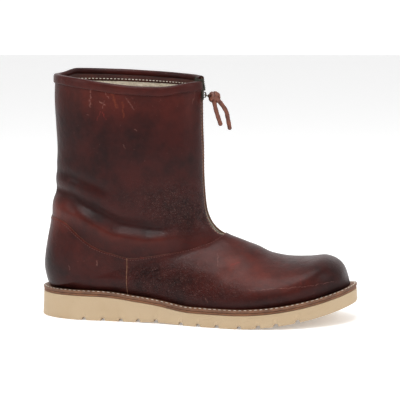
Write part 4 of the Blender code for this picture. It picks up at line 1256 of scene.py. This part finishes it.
# the collar takes the same attributes at 0.6, painted shade and painted highlight included
for field, values in wear_and_painted_light(np.array([v.co for v in collar.data.vertices]), np.array([-1.0])).items():
    layer = collar.data.attributes.new(field, "FLOAT", "POINT")
    layer.data.foreach_set("value", (0.6 * values).astype(np.float32))
dress(collar, "boot", "leather", "collar_binding")

# %% Facing band inside the collar, and its stitches
row_per_metre = 1 / 0.0233
band_down = np.linspace(0.0030, 0.0112, 10)[:, None] * row_per_metre
facing_sheet = dict(zip(("points", "normals"), upper_at(band_down, rim_turn[None, :])))
band_fall = np.linspace(0, 1, 10)[:, None] + 0 * rim_turn[None, :]
facing_sheet["face"] = -0.0026
facing_sheet["back"] = -0.0026 - 0.0009 * np.sqrt(np.clip(1 - (2 * band_fall - 1) ** 6, 0.02, 1))
dress(shell("facing_band", [facing_sheet], [facing, raw_edge]), "boot", "leather")

line, line_out = upper_at(0.0088 * row_per_metre, rim_turn)
stitch_curve = line - line_out * 0.00355
centres, forward, places = spaced(stitch_curve, 0.0036, 0.004, 0.004)
stitches("facing_stitches", centres, forward, -read_along(line_out, places),
         (0.0027, 0.0009, 0.0006), pale_thread)

# %% Wool lining
def fuzz(points):
    """Low tufts: products of sines in three slanted directions."""
    x, y, z = (points[..., i] * 1000 for i in range(3))
    soft = np.sin(1.9 * x + 0.8 * z) * np.sin(1.7 * z - 0.9 * y)
    soft = soft + np.sin(2.3 * y + 1.1 * x) * np.sin(2.9 * z)
    return soft + 0.6 * np.sin(4.3 * x - 1.3 * y) * np.sin(4.9 * z + 2 * y)


def lined(row, turn, tucked):
    """One grid of the lining: tufts stand on its back, and sink at an upper edge that is tucked in."""
    points, normals = upper_at(row, turn)
    sunk = ease(0, 0.004, np.linalg.norm(points - points[:1], axis=-1)) if tucked else 1.0
    back = -0.0026 - sunk * (0.0007 + 0.00028 * fuzz(points))
    return {"points": points, "normals": normals, "face": -0.00155, "back": back}


lining_turns = np.linspace(0, 1, 98)[None, :]
lining_down = np.linspace(0, 1, 108)[:, None]
lining_sheets = []
for side in (-1, 1):
    turn = np.maximum(lining_turns, 1e-9) * side
    start_row = 0.0094 * row_per_metre
    row = start_row + (seam_at(turn) - start_row) * lining_down
    share = share_of(slit_half + 0.001, row, turn) * (1 - ease(0.93, 1.0, lining_down))
    turn = turn * (1 - share * np.abs(turn) ** 30)
    lining_sheets.append(lined(row, turn, True))
    row, turn = foot_grid(side, lining_down, lining_turns, at_back, whole_width, last_row)
    turn = np.where(lining_turns == 0, side * 1e-9, turn)
    lining_sheets.append(lined(row, turn, False))
dress(shell("wool_lining", lining_sheets, [wool, wool]), "boot", "lining")

# %% [markdown]
# ## The insole
# The leather board that the foot stands on is a plain flat shape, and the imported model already
# has it right. It only takes a better finish, put into the material slots it already has.

# %% Insole board
for material_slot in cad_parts["insole"].material_slots:
    material_slot.material = board

# %% [markdown]
# ## The front zip
# Two strips of woven tape lie behind the slit. Small metal teeth sit on their edges and mesh
# below the slider. The tapes follow the leather's own surface, offset inwards.

# %% The line down the front
def front_line(places):
    """Points, steps down and outward directions on the shaft's front ridge, at distances from the rim."""
    rows = np.linspace(0, seam_row[1, -1], 400)
    line = upper_at(rows, 1.0)[0].copy()
    line[:, 1] = -to_frame[1]
    run = np.concatenate([[0], np.cumsum(np.linalg.norm(np.diff(line, axis=0), axis=1))])
    read = lambda at: np.stack([np.interp(at, run, line[:, i]) for i in range(3)], axis=-1)
    down = unit(read(places + 0.001) - read(places - 0.001))
    return read(places), down, np.stack([-down[..., 2], 0 * places, down[..., 0]], axis=-1), run[-1]


# %% Zip tapes
tape_half, tape_middle, tape_thickness, tape_clearance = 0.0110, 0.0007, 0.0008, 0.0011
slider_from_top = 0.0167


def tape_depth(places):
    """Depth of the tapes' face: behind the upper, and behind the collar roll near the rim."""
    return upper_wall + tape_clearance + 0.0014 * (1 - ease(0.0088, 0.0116, places))


tape_down = np.linspace(0, 0.985, 150)[:, None]
for side, label in ((-1, "outer"), (1, "inner")):
    away = np.linspace(tape_half, tape_middle, 14)[None, :]
    row = seam_row[0, -1] * tape_down + 0 * away
    turn = side * (1 - share_of(away, row, side))
    tape_sheet = dict(zip(("points", "normals"), upper_at(row, turn)))
    tape_sheet["normals"][:, -1, 1] *= 0.3
    depth = tape_depth(tape_down * 0.122) - 0.0002 * ease(0.0026, 0.0008, away)
    tape_sheet["face"] = -depth
    tape_sheet["back"] = -depth - tape_thickness
    tape = shell(f"zip_tape_cloth_{label}", [tape_sheet], [tape_cloth, tape_cloth])
    dress(tape, "boot", "zip_tape", f"zip_tape_{label}")


# %% Teeth: rounded blocks, one grid for all of a row
def blocks(name, centres, forward, up, size, finish):
    """Superellipse bars, swept forward: width and height shrink at both ends as a rounded box does."""
    long, wide, high = size
    along = np.array((-1, -0.72, 0.72, 1))
    swell = np.array((0.70, 1, 1, 0.70))
    around = np.linspace(0, 2 * np.pi, 9)[:-1] + np.pi / 8
    across = unit(np.cross(up, forward))
    c, f, a, u = (v[:, None, None] for v in (centres, forward, across, up))
    ring_y = (swell[:, None] * squared(np.cos(around), 0.5) * wide / 2)[None, ..., None]
    ring_z = (swell[:, None] * squared(np.sin(around), 0.5) * high / 2)[None, ..., None]
    ring_x = (along[:, None] * long / 2 + 0 * around)[None, ..., None]
    return tubes(name, c + f * ring_x + a * ring_y + u * ring_z, finish, sharp=40)


zip_run = float(front_line(np.array([0.0]))[3])
for side, label in ((-1, "outer"), (1, "inner")):
    at = np.arange(slider_from_top + 0.003, zip_run - 0.006, 0.0021) + (0.00105 if side > 0 else 0)
    points, down, out, _ = front_line(at)
    across = np.tile((0.0, float(side), 0), (len(at), 1))
    centres = points + across * 0.0008 + out * (0.0007 - tape_depth(at))[:, None]
    teeth = blocks(f"zip_teeth_metal_{label}", centres, across, out, (0.0026, 0.0011, 0.0013), antique)
    dress(teeth, "boot", "zip_metal", f"zip_teeth_{label}")

# %% [markdown]
# ## Slider and pull
# The slider is a small cast body with rounded edges and a low bridge, and the pull is a thin
# frame that hangs in the bridge. Both are antique brass: dark in the hollows, pale on the edges.

# %% Slider body and bridge
slider_length, slider_width, slider_height = 0.0105, 0.0054, 0.0020
bridge_length, bridge_room, bridge_top = 0.0037, 0.0017, 0.0006
shown_bridge, bridge_half_width, bridge_half_bar = 0.0062, 0.0011, 0.00066
slider_at, slider_down, slider_out = (values[0] for values in front_line(np.array([slider_from_top]))[:3])
slider_across = np.array((0.0, 1.0, 0.0))


def slider_point(down, across, out):
    """A place in the slider's own axes, in the frame."""
    return (slider_at + np.multiply.outer(down, slider_down) + np.multiply.outer(across, slider_across)
            + np.multiply.outer(out, slider_out))


run = np.linspace(-1, 1, 25)[:, None]
corner_turn = np.linspace(0, 2 * np.pi, 41)[None, :-1]
swell = (1 - np.abs(run) ** 6 * 0.999) ** 0.30
flare = 1 - 0.16 * ease(-1, 1, run) + 0.05 * np.cos(3 * run)
body_y = squared(np.cos(corner_turn), 0.4) * slider_width / 2 * swell * flare
body_z = squared(np.sin(corner_turn), 0.4) * slider_height / 2 * swell
dish = 0.00022 * np.exp(-((np.abs(body_y) / 0.0013) ** 4)) * (body_z > 0)
dish = dish * (1 - ease(0.5, 0.9, np.abs(run)))
body_points = slider_point(run * slider_length / 2 + 0 * body_y, body_y, body_z - dish)
dress(tubes("zip_slider_body", body_points, antique, sharp=50), "boot", "zip_metal", "zip_slider")

arch = np.linspace(0, np.pi, 31)[:, None]
arch_x = -squared(np.cos(arch), 0.55) * (shown_bridge / 2 - 0.0005)
arch_z = slider_height / 2 - 0.0002 + squared(np.sin(arch), 0.55) * (bridge_room + bridge_top / 2 + 0.0002)
ring_turn = np.linspace(0, 2 * np.pi, 13)[None, :-1]
arch_out = unit(np.stack([arch_x / (shown_bridge / 2) ** 2, arch_z / bridge_room**2], axis=-1))
ring_x = arch_x + arch_out[..., 0] * bridge_half_bar * np.sin(ring_turn)
ring_z = arch_z + arch_out[..., 1] * bridge_half_bar * np.sin(ring_turn)
ring_y = squared(np.cos(ring_turn), 0.5) * bridge_half_width + 0 * arch
bridge = tubes("zip_slider_bridge", slider_point(ring_x, ring_y, ring_z), antique, sharp=50)
dress(bridge, "boot", "zip_metal")

# %% [markdown]
# ## The open upper ends of the zip
# Above the slider the two rows of teeth part and lean out of the slit, because the pull's weight
# drags the cloth forward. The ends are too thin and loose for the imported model, so they are shown
# here alone: one curved flap of cloth a side, with blocks for teeth along its free edge.

# %% Upper ends of the zip
zip_pitch_above, tooth_above = 0.0019, (0.0024, 0.0011, 0.0016)


def open_edge(at):
    """How far the free edge stands out of the slit, and aside from its middle, at distances down."""
    return 0.0006 + 0.0012 * ease(0.001, 0.011, at), 0.0007 + 0.0016 * (1 - ease(0.0, 0.0125, at))


for side, label in ((-1, "outer"), (1, "inner")):
    at = np.linspace(0.0012, slider_from_top - 0.0040, 34)
    points, down, out, _ = front_line(at)
    rise, spread = open_edge(at)
    across = np.linspace(0, 1, 8)
    flat = side * (0.0052 + (spread[:, None] - 0.0052) * across)
    lift = -0.0042 + (rise[:, None] + 0.0042) * ease(0, 1, across)
    flap = points[:, None] + out[:, None] * lift[..., None] + np.array((0, 1, 0)) * flat[..., None]
    around, along = np.gradient(flap, axis=1), np.gradient(flap, axis=0)
    flap_sheet = {"points": flap, "normals": unit(np.cross(around, along)) * side}
    flap_sheet.update({"face": 0.0003, "back": -0.0003})
    dress(shell(f"zip_tape_end_{label}", [flap_sheet], [tape_cloth, tape_cloth]), "boot", "zip_tape")
    at = np.arange(0.0016, slider_from_top - 0.0046, zip_pitch_above)
    at = at + (zip_pitch_above / 2 if side > 0 else 0)
    points, down, out, _ = front_line(at)
    rise, spread = open_edge(at)
    centres = points + out * (rise + 0.0001)[:, None] + np.array((0, side, 0)) * (spread - 0.0001)[:, None]
    aim = np.tile((0.0, float(side), 0), (len(at), 1))
    dress(blocks(f"zip_open_teeth_{label}", centres, aim, out, tooth_above, antique), "boot", "zip_metal")

# %% Pull: a rounded rectangular frame of bar, hanging out from the bridge
pull_hang = math.radians(76)
pull_along = slider_down * math.cos(pull_hang) + slider_out * math.sin(pull_hang)
pull_face = slider_out * math.cos(pull_hang) - slider_down * math.sin(pull_hang)
hinge = slider_at + slider_out * (slider_height / 2 + bridge_room / 2)


def pull_point(along, across, face):
    """A place in the pull's own axes, from its hinge, in the frame."""
    return (hinge + np.multiply.outer(along, pull_along) + np.multiply.outer(across, slider_across)
            + np.multiply.outer(face, pull_face))


pull_reach = math.hypot(bridge_length / 2, bridge_room / 2 + bridge_top) + 0.0004
bar_x, bar_y = (pull_reach + 0.0004 + 0.0006) / 2, 0.0044 / 2 - 0.00042
frame_turn = np.linspace(0, 2 * np.pi, 65)[:-1, None]
loop_x = squared(np.cos(frame_turn), 0.35) * bar_x + bar_x
loop_y = squared(np.sin(frame_turn), 0.35) * bar_y
bar_turn = np.linspace(0, 2 * np.pi, 13)[None, :-1]
bar_half = 0.0004 + 0.00045 * ease(0, 1, np.cos(frame_turn))
aside = unit(np.stack([loop_x - bar_x, loop_y], axis=-1) * np.array((1.0, 1.3)))
x = loop_x + aside[..., 0] * bar_half * np.cos(bar_turn)
y = loop_y + aside[..., 1] * bar_half * np.cos(bar_turn)
z = (0.00038 + 0.0011 * ease(0.2, 1, np.cos(frame_turn))) * np.sin(bar_turn) + 0 * x
pull = tubes("pull_frame", pull_point(x, y, z), antique, wrap_rows=True, sharp=60)
dress(pull, "zip_pull", "zip_metal", "pull_tab")

# %% The thong's own loop through the pull
loop_turn = np.linspace(0, 2 * np.pi, 49)[:-1, None]
band_x, band_y = strap_section()
ring = 0.0016 + 0.00045 * band_y
around_x = pull_reach + 0.0024 + ring * np.cos(loop_turn)
around_z = (ring - 0.0001) * np.sin(loop_turn)
loop_points = pull_point(around_x, 0.00115 * band_x + 0 * loop_turn, around_z)
dress(tubes("thong_loop", loop_points, thong_tan, wrap_rows=True, sharp=60), "zip_pull", "thong")

# %% [markdown]
# ## Cut edges and stitching
# The upright seam in front of the heel shows a pale line, the leather's cut edge, so a thin tube
# follows it. Stitches run beside the zip and under the seams: the short rods that the welt uses,
# smaller and darker. A bump pattern would blur at this size, and small rods catch the light.

# %% The pale cut edge of the upright side seams
for side, label in ((-1, "outer"), (1, "inner")):
    row = np.linspace(float(seam_at(side * 0.4)) + 0.02, side_end - 0.04, 160)
    turn = np.maximum(side_seam_at(row, side), 1e-4) * side
    for _ in range(6):
        row = np.linspace(0, 1, 160) * (side_end - 0.04 - seam_at(turn[0])) + seam_at(turn[0]) + 0.02
        turn = np.maximum(side_seam_at(row, side), 1e-4) * side
    line, out = upper_at(row, turn)
    along = unit(np.gradient(line, axis=0))
    beside = np.cross(out, along)
    ring_turn = np.linspace(0, 2 * np.pi, 9)[:-1]
    uneven = (1 + 0.25 * np.sin(31 * np.linspace(0, 1, 160)) * np.sin(77 * np.linspace(0, 1, 160)))[:, None]
    rings = (line[:, None] + beside[:, None] * (0.00034 * uneven * np.cos(ring_turn))[..., None]
             + out[:, None] * (panel_step + 0.00006 + 0.00016 * np.sin(ring_turn) + 0 * uneven)[..., None])
    dress(tubes(f"side_seam_edge_{label}", rings, raw_edge, sharp=180), "boot", "leather")

# %% Stitches beside the zip and along the seams
for side in (-1, 1):
    down_share = np.linspace(0.085, 0.96, 500)
    row = seam_row[0, -1] * down_share
    turn = side * (1 - share_of(slit_at(down_share, side) + 0.0017, row, side))
    edge_line, edge_out = upper_at(row, turn)
    centres, forward, places = spaced(edge_line, 0.0031)
    out = read_along(edge_out, places)
    stitches(f"zip_edge_stitches_{'outer' if side < 0 else 'inner'}", centres, forward, out,
             (0.0021, 0.0006, 0.0004), tan_thread)

for side, label in ((-1, "outer"), (1, "inner")):
    turn = side * np.linspace(0.02, 0.985, 900)
    line, out = upper_at(seam_at(turn) + 0.16, turn)
    centres, forward, places = spaced(line + out * panel_step, 0.0026)
    stitches(f"seam_stitches_{label}", centres, forward, read_along(out, places),
             (0.0019, 0.00055, 0.00030), dark_thread)

# %% [markdown]
# ## Lights and floor
# The photograph has no visible edge between floor and wall. A pale floor with a little glow of
# its own does the same, under large soft lights, and the surroundings are bright behind the boot
# and dim behind the camera, so that dark leather keeps its depth.


# %% Floor and lights
def area_light(name, place, aim, size, power, tint=(1, 1, 1)):
    data = bpy.data.lights.new(name, "AREA")
    data.shape = "RECTANGLE"
    data.size, data.size_y = size
    data.energy = power
    data.color = tint
    made = bpy.data.objects.new(name, data)
    made.location = place
    made.rotation_mode = "QUATERNION"
    made.rotation_quaternion = (Vector(aim) - Vector(place)).to_track_quat("-Z", "Y")
    bpy.context.scene.collection.objects.link(made)


floor_points = np.array([(-4, -4, 0), (4, -4, 0), (4, 4, 0), (-4, 4, 0)], float)
floor_finish, _, floor_shader, _ = new_material("pale_floor", 0.7)
floor_shader.inputs["Base Color"].default_value = (0.95, 0.95, 0.95, 1)
floor_shader.inputs["Emission Color"].default_value = (1, 1, 1, 1)
floor_shader.inputs["Emission Strength"].default_value = 0.25
floor = mesh_object("floor", floor_points, np.array([[0, 1, 2, 3]]), np.zeros((0, 3), int), [floor_finish])

area_light("top_softbox", (0.0, -0.35, 1.4), (0, 0, 0.1), (1.0, 0.7), 11)
area_light("left_softbox", (-1.3, -0.8, 0.8), (0, 0, 0.1), (0.5, 0.9), 5)
area_light("right_softbox", (1.3, -0.5, 0.7), (0, 0, 0.1), (0.4, 0.9), 4)
area_light("front_fill", (0.4, -1.7, 1.0), (0, 0, 0.1), (0.9, 0.6), 3)
area_light("sparkle", (-0.15, -0.9, 1.3), (0, 0, 0.1), (0.28, 0.28), 4)

world = bpy.data.worlds.new("studio")
bpy.context.scene.world = world
world.use_nodes = True
sky = world.node_tree
direction = put(sky, "ShaderNodeTexCoord").outputs["Generated"]
facing_wall = put(sky, "ShaderNodeSeparateXYZ", {0: direction}).outputs[1]
brightness = put(sky, "ShaderNodeMapRange",
                 {"Value": facing_wall, "From Min": -0.15, "From Max": 0.45, "To Min": 0.30, "To Max": 1.1},
                 interpolation_type="SMOOTHSTEP").outputs[0]
sky.nodes["Background"].inputs[0].default_value = (1, 1, 1, 1)
sky.links.new(brightness, sky.nodes["Background"].inputs[1])
bpy.context.scene.view_settings.view_transform = "Standard"
